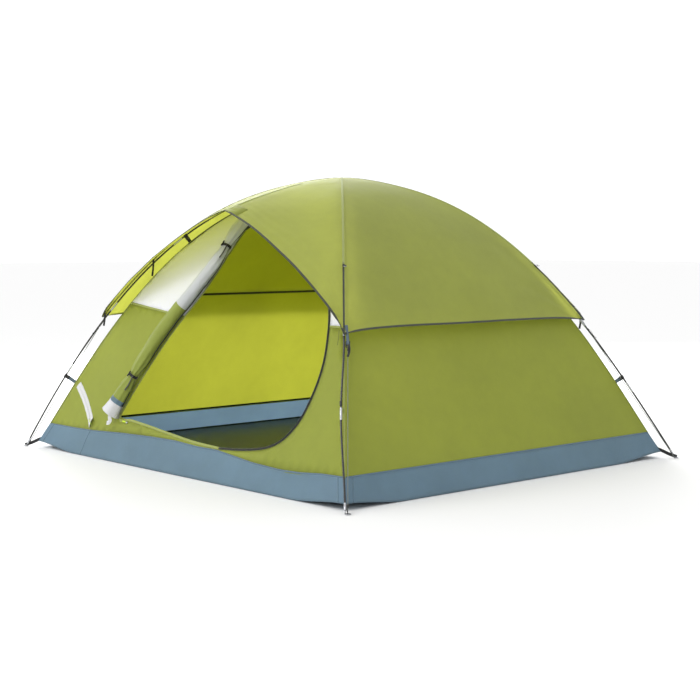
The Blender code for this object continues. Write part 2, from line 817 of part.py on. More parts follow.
def add_door_tie(level, mat, toggle_mat):
    """A loop round the roll, and the toggle on it, which turns to pass back through the loop."""
    (centre, normal, width), z, ahead = tie_station(TIE_HEIGHTS[level])
    size = pinch(z)
    wide = ROLL_HALF_WIDTH * size + TIE_CLEAR
    deep = ROLL_HALF_DEPTH * size + TIE_CLEAR
    rings = []
    for k in range(20):
        turn = 2 * math.pi * k / 20
        ring = []
        for grow, shift in ((0, -1), (TIE_THICK, -1), (TIE_THICK, 1), (0, 1)):
            across = width * (wide + grow) * math.cos(turn) + normal * (deep + grow) * math.sin(turn)
            ring.append(centre + across + ahead * shift * TIE_BAND / 2)
        rings.append(ring)
    add_loft(f"door_tie_{level}", rings, mat, closed=True)

    pivot = centre + normal * (deep + TIE_THICK + TOGGLE_CLEAR + TOGGLE_RADIUS)
    rings = []
    for share, grow in ((-0.5, 0.6), (-0.42, 1), (0.42, 1), (0.5, 0.6)):
        spot = pivot + ahead * share * TOGGLE_LENGTH
        rings.append(ellipse(spot, normal, width, TOGGLE_RADIUS * grow, TOGGLE_RADIUS * grow, 8))
    add_loft(f"door_toggle_{level}", rings, toggle_mat, origin=pivot)


DOOR_SLIDER_AT = (-0.470, 0.188)
DOOR_SLIDER_TO = (0.000, 0.150)
VENT_LINE = [(-0.762, 0.150), (-1.005, 0.328)]
VENT_HALF_WIDTH = 0.019
VENT_TAPE_TOP = 0.0016
VENT_TAPE_THICK = 0.0012
DOOR_SLIDER_CLEAR = 0.0012
VENT_SLIDER_CLEAR = 0.0040
VENT_SLIDER_AT = (-0.790, 0.1705)
VENT_SLIDER_TO = (-0.8925, 0.2451)
SLIDER_BODY = [(-0.004, 0), (0.009, 0), (0.009, 0.0035), (0.004, 0.0055), (-0.004, 0.0055)]
SLIDER_PULL = [(-0.006, 0.0040), (-0.034, 0.0036), (-0.034, 0.0020), (-0.006, 0.0020)]
SLIDER_HALF_WIDTH = 0.004


def add_slider(name, start, end, mat, clear):
    """A zip slider and its hanging pull, on the outside of the front wall, facing along its zip."""
    a = Vector(front_place(*start))
    b = Vector(front_place(*end))
    normal = front_normal((start[1] + end[1]) / 2)
    ahead = (b - a).normalized()
    normal = (normal - ahead * normal.dot(ahead)).normalized()
    width = normal.cross(ahead)
    base = a + normal * clear
    rings = []
    for side in (-SLIDER_HALF_WIDTH, SLIDER_HALF_WIDTH):
        rings.append([base + ahead * u + normal * v + width * side for u, v in SLIDER_BODY + SLIDER_PULL])
    add_loft(name, rings, mat, origin=base)


def add_vent_tape(mat, rows=7):
    """The zipped white tape of the low vent, sewn flat on the front wall."""
    points = []
    flat = Vector((VENT_LINE[1][0] - VENT_LINE[0][0], VENT_LINE[1][1] - VENT_LINE[0][1]))
    across = Vector((flat.y, -flat.x)).normalized() * VENT_HALF_WIDTH
    for t in np.linspace(0, 1, rows):
        for side in (-1, 1):
            x = VENT_LINE[0][0] + flat.x * t + across.x * side
            z = VENT_LINE[0][1] + flat.y * t + across.y * side
            points.append(Vector(front_place(x, z)) + front_normal(z) * VENT_TAPE_TOP)
    faces = [tuple(reversed(f)) for f in grid_faces(rows, 2)]
    add_shell("vent_tape", points, faces, lambda p: Vector(p) - front_normal(p[2]) * VENT_TAPE_THICK, mat)


def main():
    clear_scene()
    bpy.context.scene.unit_settings.system = "METRIC"
    tub = material("tub_fabric", (0.16, 0.25, 0.32), 0.6)
    green = material("wall_fabric", (0.33, 0.39, 0.09), 0.65)
    olive = material("fly_fabric", (0.30, 0.37, 0.08), 0.6)
    netting = material("white_netting", (0.82, 0.82, 0.80), 0.8)
    fibre = material("black_fibreglass", (0.02, 0.02, 0.02), 0.3)
    steel = material("steel", (0.55, 0.55, 0.56), 0.3, 1.0)
    plastic = material("black_plastic", (0.02, 0.02, 0.022), 0.45)
    elastic = material("black_elastic", (0.03, 0.03, 0.03), 0.8)
    white = material("white_tape", (0.80, 0.80, 0.80), 0.7)
    neon = material("yellow_pull", (0.62, 0.75, 0.04), 0.5)

    add_floor_tub(tub)
    add_front_wall(green, netting)
    for side in ("left", "right", "rear"):
        add_cabin_wall(side, TUB_HEIGHT, SIDE_SEAM_Z, green)
    add_roof_canopy(green)
    add_fly_end("front", olive)
    add_fly_end("rear", olive)
    add_fly_side("left", olive)
    add_fly_side("right", olive)
    add_pole("pole_a", -1, fibre)
    add_pole("pole_b", 1, fibre)
    add_brow_pole(fibre)
    for name in CORNERS:
        corner = Corner(name)
        add_clip(corner, "lower", LOWER_CLIP_RHO[name], plastic)
        add_clip(corner, "upper", UPPER_CLIP_RHO, plastic)
        add_foot_ring(corner, steel)
        add_buckle(corner, plastic)
        add_cord(corner, elastic)
    add_door_roll(green)
    for level in TIE_HEIGHTS:
        add_door_tie(level, elastic, plastic)
    add_vent_tape(white)
    add_slider("door_slider", DOOR_SLIDER_AT, DOOR_SLIDER_TO, neon, DOOR_SLIDER_CLEAR)
    add_slider("vent_slider", VENT_SLIDER_AT, VENT_SLIDER_TO, neon, VENT_SLIDER_CLEAR)


main()
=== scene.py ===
"""The looks of the dome tent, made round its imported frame.

Places and sizes come from the frame's boxes. The curves between them are the ones that the solids
were made from: along a floor diagonal, rho is the distance from the middle, and a wall at rho stands
at x = rho * DIAG_X or at y = rho * DIAG_Y. Cloth and tapes carry UVs in metres, which their weaves follow.
"""

import math

import bpy
import numpy as np
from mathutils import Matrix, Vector, noise
from mathutils.geometry import delaunay_2d_cdt


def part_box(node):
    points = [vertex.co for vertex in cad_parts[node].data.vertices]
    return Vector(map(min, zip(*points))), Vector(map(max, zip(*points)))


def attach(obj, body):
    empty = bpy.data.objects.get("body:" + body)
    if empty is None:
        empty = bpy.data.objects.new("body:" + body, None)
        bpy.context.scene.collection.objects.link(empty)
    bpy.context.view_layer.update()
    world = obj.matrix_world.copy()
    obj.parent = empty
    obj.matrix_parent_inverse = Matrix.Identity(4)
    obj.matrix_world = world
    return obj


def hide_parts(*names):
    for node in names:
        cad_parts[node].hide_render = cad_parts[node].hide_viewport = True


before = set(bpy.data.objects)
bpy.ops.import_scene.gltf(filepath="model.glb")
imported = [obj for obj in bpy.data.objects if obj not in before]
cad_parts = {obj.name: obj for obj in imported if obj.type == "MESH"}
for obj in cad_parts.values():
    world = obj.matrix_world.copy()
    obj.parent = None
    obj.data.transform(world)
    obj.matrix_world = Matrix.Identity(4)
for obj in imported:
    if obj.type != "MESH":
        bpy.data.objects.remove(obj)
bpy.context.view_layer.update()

# ---- sizes from the frame, metres ----
FLOOR_X, FLOOR_Y, TUB_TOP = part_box("floor_tub")[1]
HALF_DIAGONAL = math.hypot(FLOOR_X, FLOOR_Y)
DIAG_X = FLOOR_X / HALF_DIAGONAL
DIAG_Y = FLOOR_Y / HALF_DIAGONAL
SIDE_SEAM_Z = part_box("left_wall")[1][2]
FRONT_SEAM_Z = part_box("front_wall")[1][2]
FLY_HEM_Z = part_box("fly_right")[0][2] + 0.019
FLY_CORNER_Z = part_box("fly_right")[0][2]

# ---- the solids' curves ----
CABIN_A, CABIN_H, CABIN_P, CABIN_Q = 1.609, 1.332, 2.306, 0.906
POLE_A, POLE_H, POLE_P = 1.6604, 1.353, 2.268
CROSSING_RISE, CROSSING_REACH = 0.0056, 0.30
FLY_A, FLY_H, FLY_P = 1.680, 1.3645, 2.268
FLY_PEAK, FLY_PEAK_REACH = 0.018, 0.22
BROW_REACH, BROW_DROP, BROW_POWER, HEM_POWER = 0.735, 0.174, 1.5, 1.22
TUB_CORNER_LIFT, TUB_LIFT_REACH = 0.027, 0.35
FRONT_LEG_BOW, REAR_LEAN = 0.014, 0.037
CORNERS = {"front_left": (-1, -1), "front_right": (1, -1), "rear_right": (1, 1), "rear_left": (-1, 1)}
RIDGES = ("front_right", "rear_right", "rear_left", "front_left")
SIDES = ("right", "rear", "left", "front")
CLOTH = 0.0008
SLOPE_STEP = 0.001
MATS = {}


def cabin_z(rho):
    return CABIN_H * max(0.0, 1 - (rho / CABIN_A) ** CABIN_P) ** (1 / CABIN_Q)


def cabin_rho(z):
    return CABIN_A * max(0.0, 1 - (z / CABIN_H) ** CABIN_Q) ** (1 / CABIN_P)


def pole_z(rho, over):
    arch = POLE_H * (1 - (abs(rho) / POLE_A) ** POLE_P)
    return arch + over * CROSSING_RISE * math.exp(-((rho / CROSSING_REACH) ** 2))


def fly_z(rho):
    return FLY_H * (1 - (rho / FLY_A) ** FLY_P) + FLY_PEAK * math.exp(-((rho / FLY_PEAK_REACH) ** 2))


def fly_rho(z):
    return FLY_A * (1 - z / FLY_H) ** (1 / FLY_P)


def brow_z(y):
    return FLY_H + FLY_PEAK - BROW_DROP * (abs(y) / BROW_REACH) ** BROW_POWER


def slope(curve, at):
    return (curve(at + SLOPE_STEP) - curve(at - SLOPE_STEP)) / (2 * SLOPE_STEP)


def rear_lean(rho):
    """How far the rear right ridge stands in from where the other three stand."""
    share = min(1.0, abs(rho) / POLE_A)
    return REAR_LEAN * (1 - (1 - share) ** 3) * (1 - share**8)


def lean_in(p):
    """Moves a point of the fly with the rear right ridge, less and less towards the walls' middles."""
    along_x, along_y = p[0] / DIAG_X, p[1] / DIAG_Y
    rho = max(abs(along_x), abs(along_y), 1e-9)
    near = max(0.0, min(along_x, along_y) / rho)
    shift = rear_lean(rho) * near * near * (3 - 2 * near)
    return (p[0] - shift * DIAG_X, p[1] - shift * DIAG_Y, p[2])


FLY_CORNER_RHO = fly_rho(FLY_CORNER_Z)


# ---- making objects ----
def add_object(name, data):
    made = bpy.data.objects.new(name, data)
    bpy.context.scene.collection.objects.link(made)
    return made


def piece(name, points, faces, mats, body="tent", slot="wall_fabric", replaces=(), uvs=None, kinds=None,
          sharp=None):
    """A mesh object that rides on a body. mats names its materials. uvs holds one (u, v) for each point,
    or for each face's corner in turn, and kinds one material's index for each face."""
    mesh = bpy.data.meshes.new(name)
    mesh.from_pydata([tuple(map(float, p)) for p in points], [], [tuple(map(int, f)) for f in faces])
    mesh.shade_smooth()
    if sharp is not None:
        mesh.set_sharp_from_angle(angle=math.radians(sharp))
    for mat in mats.split():
        mesh.materials.append(MATS[mat])
    if kinds is not None:
        mesh.polygons.foreach_set("material_index", np.array(kinds, np.int32))
    if uvs is not None:
        corners = np.empty(len(mesh.loops), np.int32)
        mesh.loops.foreach_get("vertex_index", corners)
        flat = np.array(uvs, np.float32)
        layer = mesh.uv_layers.new(name="metres")
        layer.data.foreach_set("uv", (flat[corners] if len(flat) == len(points) else flat).ravel())
    made = add_object(name, mesh)
    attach(made, body)
    if replaces:
        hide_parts(*replaces)
    return made


def thicken(obj, thickness=CLOTH, inner=0):
    """Gives a cloth its thickness, inwards; inner is how many material slots on its other side's lies."""
    solid = obj.modifiers.new("cloth", "SOLIDIFY")
    solid.thickness = thickness
    solid.offset = -1
    solid.material_offset = inner
    solid.material_offset_rim = 0
    return obj


def grid_faces(rows, columns, closed=False, looped=False):
    """Quads over a grid of points. closed joins its last column to the first, looped its last row."""
    faces = []
    for r in range(rows if looped else rows - 1):
        low, high = r * columns, (r + 1) % rows * columns
        for c in range(columns if closed else columns - 1):
            d = (c + 1) % columns
            faces.append((low + c, low + d, high + d, high + c))
    return faces


def tube_faces(count, around):
    """The faces of count rings, capped at both ends."""
    last = (count - 1) * around
    caps = [tuple(reversed(range(around))), tuple(range(last, last + around))]
    return grid_faces(count, around, closed=True) + caps


def flipped(faces):
    return [tuple(reversed(f)) for f in faces]


def grid_uvs(grid):
    """Lengths in metres along a grid of points' columns and rows."""
    across = np.linalg.norm(np.diff(grid, axis=1), axis=2)
    along = np.linalg.norm(np.diff(grid, axis=0), axis=2)
    u = np.concatenate([np.zeros((len(grid), 1)), np.cumsum(across, axis=1)], axis=1)
    v = np.concatenate([np.zeros((1, grid.shape[1])), np.cumsum(along, axis=0)], axis=0)
    return np.stack([u - u[:, -1:] / 2, v], axis=2).reshape(-1, 2)


def grid_normals(grid, closed=False):
    if closed:
        across = np.roll(grid, -1, axis=1) - np.roll(grid, 1, axis=1)
    else:
        across = np.gradient(grid, axis=1)
    normals = np.cross(across, np.gradient(grid, axis=0))
    return normals / np.maximum(np.linalg.norm(normals, axis=2, keepdims=True), 1e-9)


def cloth_grid(name, grid, mats, body="tent", slot="wall_fabric", thickness=CLOTH, inner=1, flip=False,
               **more):
    """A cloth from a grid of points; flip turns its outside round."""
    faces = grid_faces(*grid.shape[:2])
    cloth = piece(name, grid.reshape(-1, 3), flipped(faces) if flip else faces, mats, body, slot,
                  uvs=grid_uvs(grid), **more)
    return thicken(cloth, thickness, inner)


def lengths(points):
    """How far along its line each point lies."""
    return np.concatenate([[0], np.cumsum(np.linalg.norm(np.diff(points, axis=0), axis=1))])


def smooth_path(points, count):
    """count points, evenly spaced, on a Catmull-Rom curve through the given ones."""
    p = [np.array(q, float) for q in points]
    p = [2 * p[0] - p[1]] + p + [2 * p[-1] - p[-2]]
    fine = []
    for a, b, c, d in zip(p, p[1:], p[2:], p[3:]):
        for t in np.linspace(0, 1, 20, endpoint=False):
            bend = (2 * a - 5 * b + 4 * c - d) * t * t + (3 * b - a - 3 * c + d) * t**3
            fine.append(0.5 * (2 * b + (c - a) * t + bend))
    fine = np.array(fine + [p[-2]])
    along = lengths(fine)
    at = np.linspace(0, along[-1], count)
    return np.stack([np.interp(at, along, fine[:, k]) for k in range(fine.shape[1])], axis=1)


def unit(v):
    v = np.asarray(v, float)
    return v / np.maximum(np.linalg.norm(v, axis=-1, keepdims=True), 1e-12)


def spots(base, axes, rows):
    """A point for each row, which holds its distances from base along the axes."""
    return base + np.asarray(rows, float) @ np.asarray(axes, float)


def sweep(name, path, profile, mat, body="tent", slot="wall_fabric", ups=None, closed=False, ends=(1, 1),
          scale=None, **more):
    """A closed tube: profile, points (side, up), carried along path. ups is its upward direction, one for
    all points or one for each; without it the tube turns as little as it can. ends shrink the first and
    last ring."""
    path = np.asarray(path, float)
    ahead = unit(np.roll(path, -1, 0) - np.roll(path, 1, 0) if closed else np.gradient(path, axis=0))
    if ups is None:
        up = unit(np.cross(ahead[0], (0.31, 0.17, 0.93)))
        ups = []
        for direction in ahead:
            up = unit(up - direction * (up @ direction))
            ups.append(up)
    ups = np.broadcast_to(np.asarray(ups, float), path.shape)
    ups = unit(ups - ahead * np.sum(ups * ahead, axis=1, keepdims=True))
    side = np.cross(ahead, ups)
    sizes = np.ones(len(path)) if scale is None else np.array(scale, float)
    if not closed:
        sizes[[0, -1]] *= ends
    profile = np.asarray(profile, float)
    sized = profile[None] * sizes[:, None, None]
    rings = path[:, None] + side[:, None] * sized[:, :, :1] + ups[:, None] * sized[:, :, 1:]
    count, around = rings.shape[:2]
    faces = grid_faces(count, around, True, True) if closed else tube_faces(count, around)
    uvs = np.stack(np.broadcast_arrays(profile[None, :, 0], lengths(path)[:, None]), axis=2).reshape(-1, 2)
    return piece(name, rings.reshape(-1, 3), flipped(faces), mat, body, slot, uvs=uvs, **more)


def oval(wide, tall, sides):
    turns = [2 * math.pi * k / sides for k in range(sides)]
    return [(wide * math.cos(t), tall * math.sin(t)) for t in turns]


def disc(radius, sides):
    return oval(radius, radius, sides)


def strap(width, thick):
    """A flat strap's section with rounded edges, standing on its middle line."""
    half, r = width / 2, thick / 2
    turns = [math.radians(a) for a in (-90, -45, 0, 45, 90)]
    right = [(half - r + r * math.cos(t), r * math.sin(t)) for t in turns]
    return right + [(-x, -y) for x, y in right]


def ribbon(name, points, flat, mat, normal, body="fly", slot="blue_webbing", thick=0.0014):
    """A strip of cloth along a curve; flat holds its length, which is not used, and its width."""
    strip = sweep(name, smooth_path(points, 26), strap(flat[1], thick), mat, body, slot, ups=unit(normal))


def lift(path, normals, height):
    return np.asarray(path, float) + np.asarray(normals, float) * height


def rumple(points, size, seed):
    """Smooth noise from -1 to 1 at each point, with folds about size metres apart."""
    shift = Vector((seed * 7.31, seed * 3.17, seed * 5.77))
    return np.array([noise.noise(Vector(p) / size + shift) for p in points])


# ---- materials ----
CLOTH_PITCH, WEBBING_PITCH, STITCH_PITCH = 0.0011, 0.0018, 0.0042
NET_PITCH, NET_HOLE = 0.0016, 0.34
STITCH_HALF_WIDTH = 0.0007


def feed(tree, made, inputs):
    """Sets a node's inputs, or links them where a socket is given."""
    for key, value in dict(inputs).items():
        if isinstance(value, bpy.types.NodeSocket):
            tree.links.new(value, made.inputs[key])
        else:
            made.inputs[key].default_value = value


def node(tree, kind, inputs=(), output=0, **settings):
    """Adds a node and gives back one of its output sockets."""
    made = tree.nodes.new("ShaderNode" + kind)
    for key, value in settings.items():
        setattr(made, key, value)
    feed(tree, made, inputs)
    return made.outputs[output]


def calc(tree, operation, *values):
    return node(tree, "Math", enumerate(values), operation=operation)


def cloud(tree, place, scale, detail, **more):
    return node(tree, "TexNoise", {"Vector": place, "Scale": scale, "Detail": detail, **more})


def linear(colour):
    """A colour given as it looks on a screen, 0 to 255, as Blender's linear values."""
    share = [c / 255 for c in colour]
    return [c / 12.92 if c < 0.04045 else ((c + 0.055) / 1.055) ** 2.4 for c in share] + [1]


def start_material(name):
    """A new material, its node tree and its shader."""
    mat = bpy.data.materials.new(name)
    mat.use_nodes = True
    return mat, mat.node_tree, mat.node_tree.nodes["Principled BSDF"]


def metres(tree):
    return node(tree, "UVMap", uv_map="metres")


def space(tree):
    return node(tree, "TexCoord", output="Object")


def spread(tree, value, low, high):
    """A socket from 0 to 1 stretched to run from low to high."""
    return node(tree, "MapRange", {"Value": value, "To Min": low, "To Max": high})


def tinted(tree, colour, shade):
    """The colour, lighter or darker by the socket shade."""
    grey = node(tree, "CombineColor", {0: shade, 1: shade, 2: shade})
    return node(tree, "Mix", {0: 1.0, 6: linear(colour), 7: grey}, 2, data_type="RGBA", blend_type="MULTIPLY")


def threads(tree, place, pitch, axis):
    """A wave across the mesh's metres, one thread every pitch."""
    scale = 2 * math.pi / 20 / pitch
    return node(tree, "TexWave", {"Vector": place, "Scale": scale}, "Fac", bands_direction=axis)


def weave_height(tree, place, pitch):
    return calc(tree, "MAXIMUM", threads(tree, place, pitch, "X"), threads(tree, place, pitch, "Y"))


def bumped(tree, height, distance, strength, **under):
    return node(tree, "Bump", {"Height": height, "Distance": distance, "Strength": strength, **under})


def cloth_material(name, colour, light, glow=None, rough=0.62, mottle=0.10, sheen=0.15, crease=0.0016):
    """Coated polyester: a fine weave, soft blotches and creases. light is how much comes through it
    and glow the colour it takes on the way."""
    mat, tree, shader = start_material(name)
    place, solid = metres(tree), space(tree)
    weave = weave_height(tree, place, CLOTH_PITCH)
    broad = spread(tree, cloud(tree, solid, 2.6, 3.0), 1 - mottle, 1 + mottle)
    blotch = cloud(tree, solid, 17.0, 6.0, Roughness=0.6)
    shade = calc(tree, "MULTIPLY", broad, spread(tree, blotch, 1 - 0.6 * mottle, 1 + 0.6 * mottle))
    shade = calc(tree, "MULTIPLY", shade, spread(tree, weave, 0.93, 1.03))
    folds = bumped(tree, cloud(tree, solid, 9.0, 4.0, Distortion=0.6), crease, 0.6)
    normal = bumped(tree, weave, 0.00012, 0.5, Normal=folds)
    grain = cloud(tree, place, 900.0, 2.0)
    feed(tree, shader, {"Base Color": tinted(tree, colour, shade), "Normal": normal,
                        "Roughness": spread(tree, grain, rough - 0.07, rough + 0.07),
                        "Sheen Weight": sheen, "Specular IOR Level": 0.35})
    if light:
        passed = tinted(tree, glow or colour, shade)
        through = node(tree, "BsdfTranslucent", {"Color": passed, "Normal": normal})
        both = node(tree, "MixShader", {0: light, 1: shader.outputs[0], 2: through})
        tree.links.new(both, tree.nodes["Material Output"].inputs["Surface"])
    return mat


def netting_material(name, colour):
    """Fine white mesh: threads round open holes, which let some of what is behind it show."""
    mat, tree, shader = start_material(name)
    cells = node(tree, "TexVoronoi", {"Vector": metres(tree), "Scale": 1 / NET_PITCH, "Randomness": 0.25},
                 feature="DISTANCE_TO_EDGE")
    shade = spread(tree, cloud(tree, space(tree), 5.0, 3.0), 0.94, 1.04)
    feed(tree, shader, {"Base Color": tinted(tree, colour, shade), "Sheen Weight": 0.2,
                        "Roughness": spread(tree, cells, 0.70, 0.88),
                        "Normal": bumped(tree, cells, 0.0003, 0.6),
                        "Alpha": calc(tree, "LESS_THAN", cells, NET_HOLE)})
    return mat


def webbing_material(name, colour, stitch=None, edge=None, rough=0.75):
    """Woven tape: ribs across its length, and with stitch a dashed row edge metres from its middle."""
    mat, tree, shader = start_material(name)
    place = metres(tree)
    ribs = weave_height(tree, place, WEBBING_PITCH)
    fuzz = cloud(tree, place, 420.0, 4.0)
    shown = tinted(tree, colour, spread(tree, fuzz, 0.82, 1.14))
    if stitch:
        off = calc(tree, "ABSOLUTE", node(tree, "SeparateXYZ", {0: place}))
        dash = calc(tree, "GREATER_THAN", threads(tree, place, STITCH_PITCH, "Y"), 0.35)
        thread = calc(tree, "MULTIPLY", calc(tree, "COMPARE", off, edge, STITCH_HALF_WIDTH), dash)
        shown = node(tree, "Mix", {0: thread, 6: shown, 7: linear(stitch)}, 2, data_type="RGBA")
        ribs = calc(tree, "ADD", ribs, thread)
    feed(tree, shader, {"Base Color": shown, "Roughness": spread(tree, fuzz, rough - 0.08, rough + 0.08),
                        "Normal": bumped(tree, ribs, 0.0004, 0.7), "Sheen Weight": 0.25})
    return mat


def hard_material(name, colour, rough, scale, metallic=0.0, coat=0.0, streak=(1, 1, 1), wear=0.10):
    """Moulded plastic, fibreglass or metal: fine grain, drawn out by streak, and uneven gloss."""
    mat, tree, shader = start_material(name)
    solid = space(tree)
    place = node(tree, "Mapping", {"Vector": solid, "Scale": streak})
    grain = cloud(tree, place, scale, 8.0, Roughness=0.65)
    patch = spread(tree, cloud(tree, solid, 14.0, 3.0), 1 - wear, 1 + wear)
    feed(tree, shader, {"Base Color": tinted(tree, colour, patch),
                        "Normal": bumped(tree, grain, 0.00008, 0.5),
                        "Roughness": spread(tree, grain, max(0.04, rough - 0.10), rough + 0.10),
                        "Metallic": metallic, "Coat Weight": coat})
    return mat


def make_materials():
    cloth, tape, hard = cloth_material, webbing_material, hard_material
    coated = {"rough": 0.5, "sheen": 0.05}
    worn = {"mottle": 0.13, "crease": 0.0030, **coated}
    floor = {"rough": 0.45, "sheen": 0.05, "mottle": 0.16, "crease": 0.004}
    return {
        "fly": cloth("fly_cloth", (162, 170, 80), 0.36, (248, 252, 150)),
        # The fly's underside: the same cloth, its colour painted lighter than the outside, painted light
        # standing for daylight coming through the fly.
        "fly_under": cloth("fly_cloth_coated", (214, 221, 104), 0.84, (255, 255, 186), rough=0.5),
        "wall": cloth("wall_cloth", (160, 170, 69), 0.40, (236, 240, 130)),
        # The walls' and canopy's inside: the same cloth painted lighter, painted glow standing for light
        # shining through the walls.
        "wall_inside": cloth("wall_cloth_inside", (188, 194, 72), 0.56, (255, 255, 165), mottle=0.07),
        "tub": cloth("tub_cloth", (111, 137, 152), 0.30, (190, 215, 240), **worn),
        # The tub's inside: the same cloth painted far lighter than its outside, painted glow for light coming
        # through it.
        "tub_inside": cloth("tub_cloth_inside", (196, 234, 255), 0.45, (225, 240, 255), **coated),
        # The floor's inside: the tub's cloth painted dark, painted shade for the shadow inside the tent.
        "floor_inside": cloth("floor_cloth_painted_shade", (46, 64, 70), 0.0, **floor),
        "netting": netting_material("white_net", (240, 241, 246)),
        "net_roll": cloth("white_net_rolled", (222, 225, 226), 0.3, mottle=0.05),
        "white": cloth("white_tape_cloth", (236, 236, 238), 0.25, mottle=0.03, crease=0.0008),
        "roll": cloth("door_cloth", (150, 162, 70), 0.15),
        "binding": tape("grey_hem_binding", (50, 56, 42), (34, 38, 28), 0.0036),
        "seam": tape("felled_seam", (160, 170, 88), (176, 184, 120), 0.0030),
        "dark_seam": tape("dark_seam_tape", (40, 46, 36), (80, 84, 72), 0.0032),
        "blue": tape("blue_grey_webbing", (88, 106, 118), (50, 62, 72), 0.0055),
        "edge_binding": tape("edge_binding", (74, 84, 66), (50, 58, 44), 0.0034),
        "tub_piping": tape("tub_piping", (92, 118, 136)),
        "wall_seam": tape("green_seam", (150, 160, 74)),
        "black": tape("black_webbing", (26, 27, 28)),
        "elastic": tape("elastic_cord_cover", (128, 133, 126), rough=0.85),
        "zip": hard("zip_coil", (24, 26, 24), 0.5, 300.0),
        "rod": hard("fibreglass_rod", (22, 23, 25), 0.26, 240.0, coat=0.4, streak=(1, 1, 0.2)),
        "steel": hard("brushed_ferrule", (196, 198, 202), 0.30, 160.0, 1.0, streak=(6, 6, 1), wear=0.06),
        "wire": hard("bright_wire", (178, 180, 184), 0.22, 200.0, 1.0),
        "plastic": hard("black_acetal", (25, 26, 28), 0.42, 420.0, wear=0.16),
        "neon": hard("neon_pull", (196, 224, 30), 0.45, 380.0, wear=0.07),
    }


# ---- camera, light and ground ----
CAMERA_PLACE = (5.305, -4.717, 1.061)
CAMERA_HEADING, CAMERA_DROP = math.radians(48.015), math.radians(4.375)
CAMERA_LENS = 72.46
BRIGHT_SIDE = (-0.85, -0.20, 0.40)
LIGHT_AIM = Vector((0, 0, 0.5))
GROUND_HALF, GROUND_Z = 60, -0.001


def add_camera():
    camera = add_object("camera", bpy.data.cameras.new("camera"))
    camera.data.lens = CAMERA_LENS
    camera.data.sensor_width = 36
    camera.location = CAMERA_PLACE
    camera.rotation_euler = (math.pi / 2 - CAMERA_DROP, 0, CAMERA_HEADING)
    bpy.context.scene.camera = camera


def add_softbox(name, place, size, power):
    light = bpy.data.lights.new(name, "AREA")
    light.shape = "RECTANGLE"
    light.size, light.size_y = size
    light.energy = power
    lamp = add_object(name, light)
    lamp.location = place
    lamp.rotation_euler = (LIGHT_AIM - Vector(place)).to_track_quat("-Z", "Y").to_euler()


def add_studio():
    scene = bpy.context.scene
    scene.view_settings.view_transform = "Standard"
    scene.world = world = bpy.data.worlds.new("studio")
    world.use_nodes = True
    tree = world.node_tree
    towards = node(tree, "TexCoord", output="Generated")
    facing = node(tree, "VectorMath", {0: towards, 1: BRIGHT_SIDE}, "Value", operation="DOT_PRODUCT")
    level = node(tree, "MapRange", {"Value": facing, "From Min": -1.0, "To Min": 0.56, "To Max": 1.28})
    feed(tree, tree.nodes["Background"], {0: (1, 1, 1, 1), 1: level})
    add_softbox("key", (-2.5, -6.0, 5.0), (4.0, 3.0), 125)
    add_softbox("back", (-5.0, 3.6, 3.2), (3.0, 3.0), 330)
    mesh = bpy.data.meshes.new("ground")
    half = GROUND_HALF
    square = [(-half, -half, 0), (half, -half, 0), (half, half, 0), (-half, half, 0)]
    mesh.from_pydata(square, [], [(0, 1, 2, 3)])
    mat, tree, shader = start_material("pale_ground")
    feed(tree, shader, {"Base Color": (0.95, 0.95, 0.95, 1), "Roughness": 0.9})
    mesh.materials.append(mat)
    ground = add_object("ground", mesh)
    ground.location.z = GROUND_Z


# ---- places on the fly and the cabin ----
def wall_place(side, across, rho, z):
    """A point of a wall: across runs from -1 to 1 along it, at the height z where it stands at rho."""
    sign = 1 if side in ("right", "rear") else -1
    if side in ("left", "right"):
        return (sign * rho * DIAG_X, sign * across * rho * DIAG_Y, z)
    return (-sign * across * rho * DIAG_X, sign * rho * DIAG_Y, z)


def hem_height(x):
    """The front hem of the fly, from the brow's tip down to a corner."""
    tip = brow_z(BROW_REACH)
    share = min(1.0, abs(x) / (FLY_CORNER_RHO * DIAG_X))
    return FLY_CORNER_Z + (tip - FLY_CORNER_Z) * (1 - share**HEM_POWER) ** (1 / HEM_POWER)


def fly_end_place(across, along):
    """A point of half the front panel: across runs from the brow (0) to the corner pole (1)."""
    rho = along * FLY_CORNER_RHO
    ridge = np.array([rho * DIAG_X, rho * DIAG_Y, fly_z(rho)])
    y = along * BROW_REACH
    brow = np.array([0, y, brow_z(y)])
    point = brow + (ridge - brow) * across
    tip = brow_z(BROW_REACH)
    straight = tip + (FLY_CORNER_Z - tip) * across
    point[2] += (hem_height(across * FLY_CORNER_RHO * DIAG_X) - straight) * along**3
    return point


def fly_place(side, across, along):
    if side in ("right", "left"):
        hem = FLY_HEM_Z - (FLY_HEM_Z - FLY_CORNER_Z) * abs(across) ** 6
        rho = along * fly_rho(hem)
        return lean_in(wall_place(side, across, rho, fly_z(rho)))
    x, y, z = fly_end_place(abs(across), along)
    sign = -1 if side == "front" else 1
    return lean_in((-sign * math.copysign(x, across), sign * y, z))


def dense_ends(count):
    """Steps from -1 to 1 that crowd towards both ends, where the seams are."""
    return np.sin(np.linspace(-1, 1, count) * math.pi / 2)


def fade(distance, reach):
    """0 at no distance, rising smoothly to 1 at reach."""
    t = np.clip(distance / reach, 0, 1)
    return t * t * (3 - 2 * t)


def rumple_grid(grid, size, seed):
    return rumple(grid.reshape(-1, 3), size, seed).reshape(grid.shape[:2])


def creases(grid, size, seed):
    """Long sharp creases, 0 to 1, where the noise changes sign."""
    return (1 - np.abs(rumple_grid(grid, size, seed))) ** 7


# ---- the fly ----
FLY_ROWS, FLY_COLUMNS = 84, 56
FLY_TOP_SHARE = 0.012
FLY_RUN = 1.62
GUY_RHO = {"front_left": 0.960, "front_right": 0.987, "rear_right": 1.000, "rear_left": 0.960}


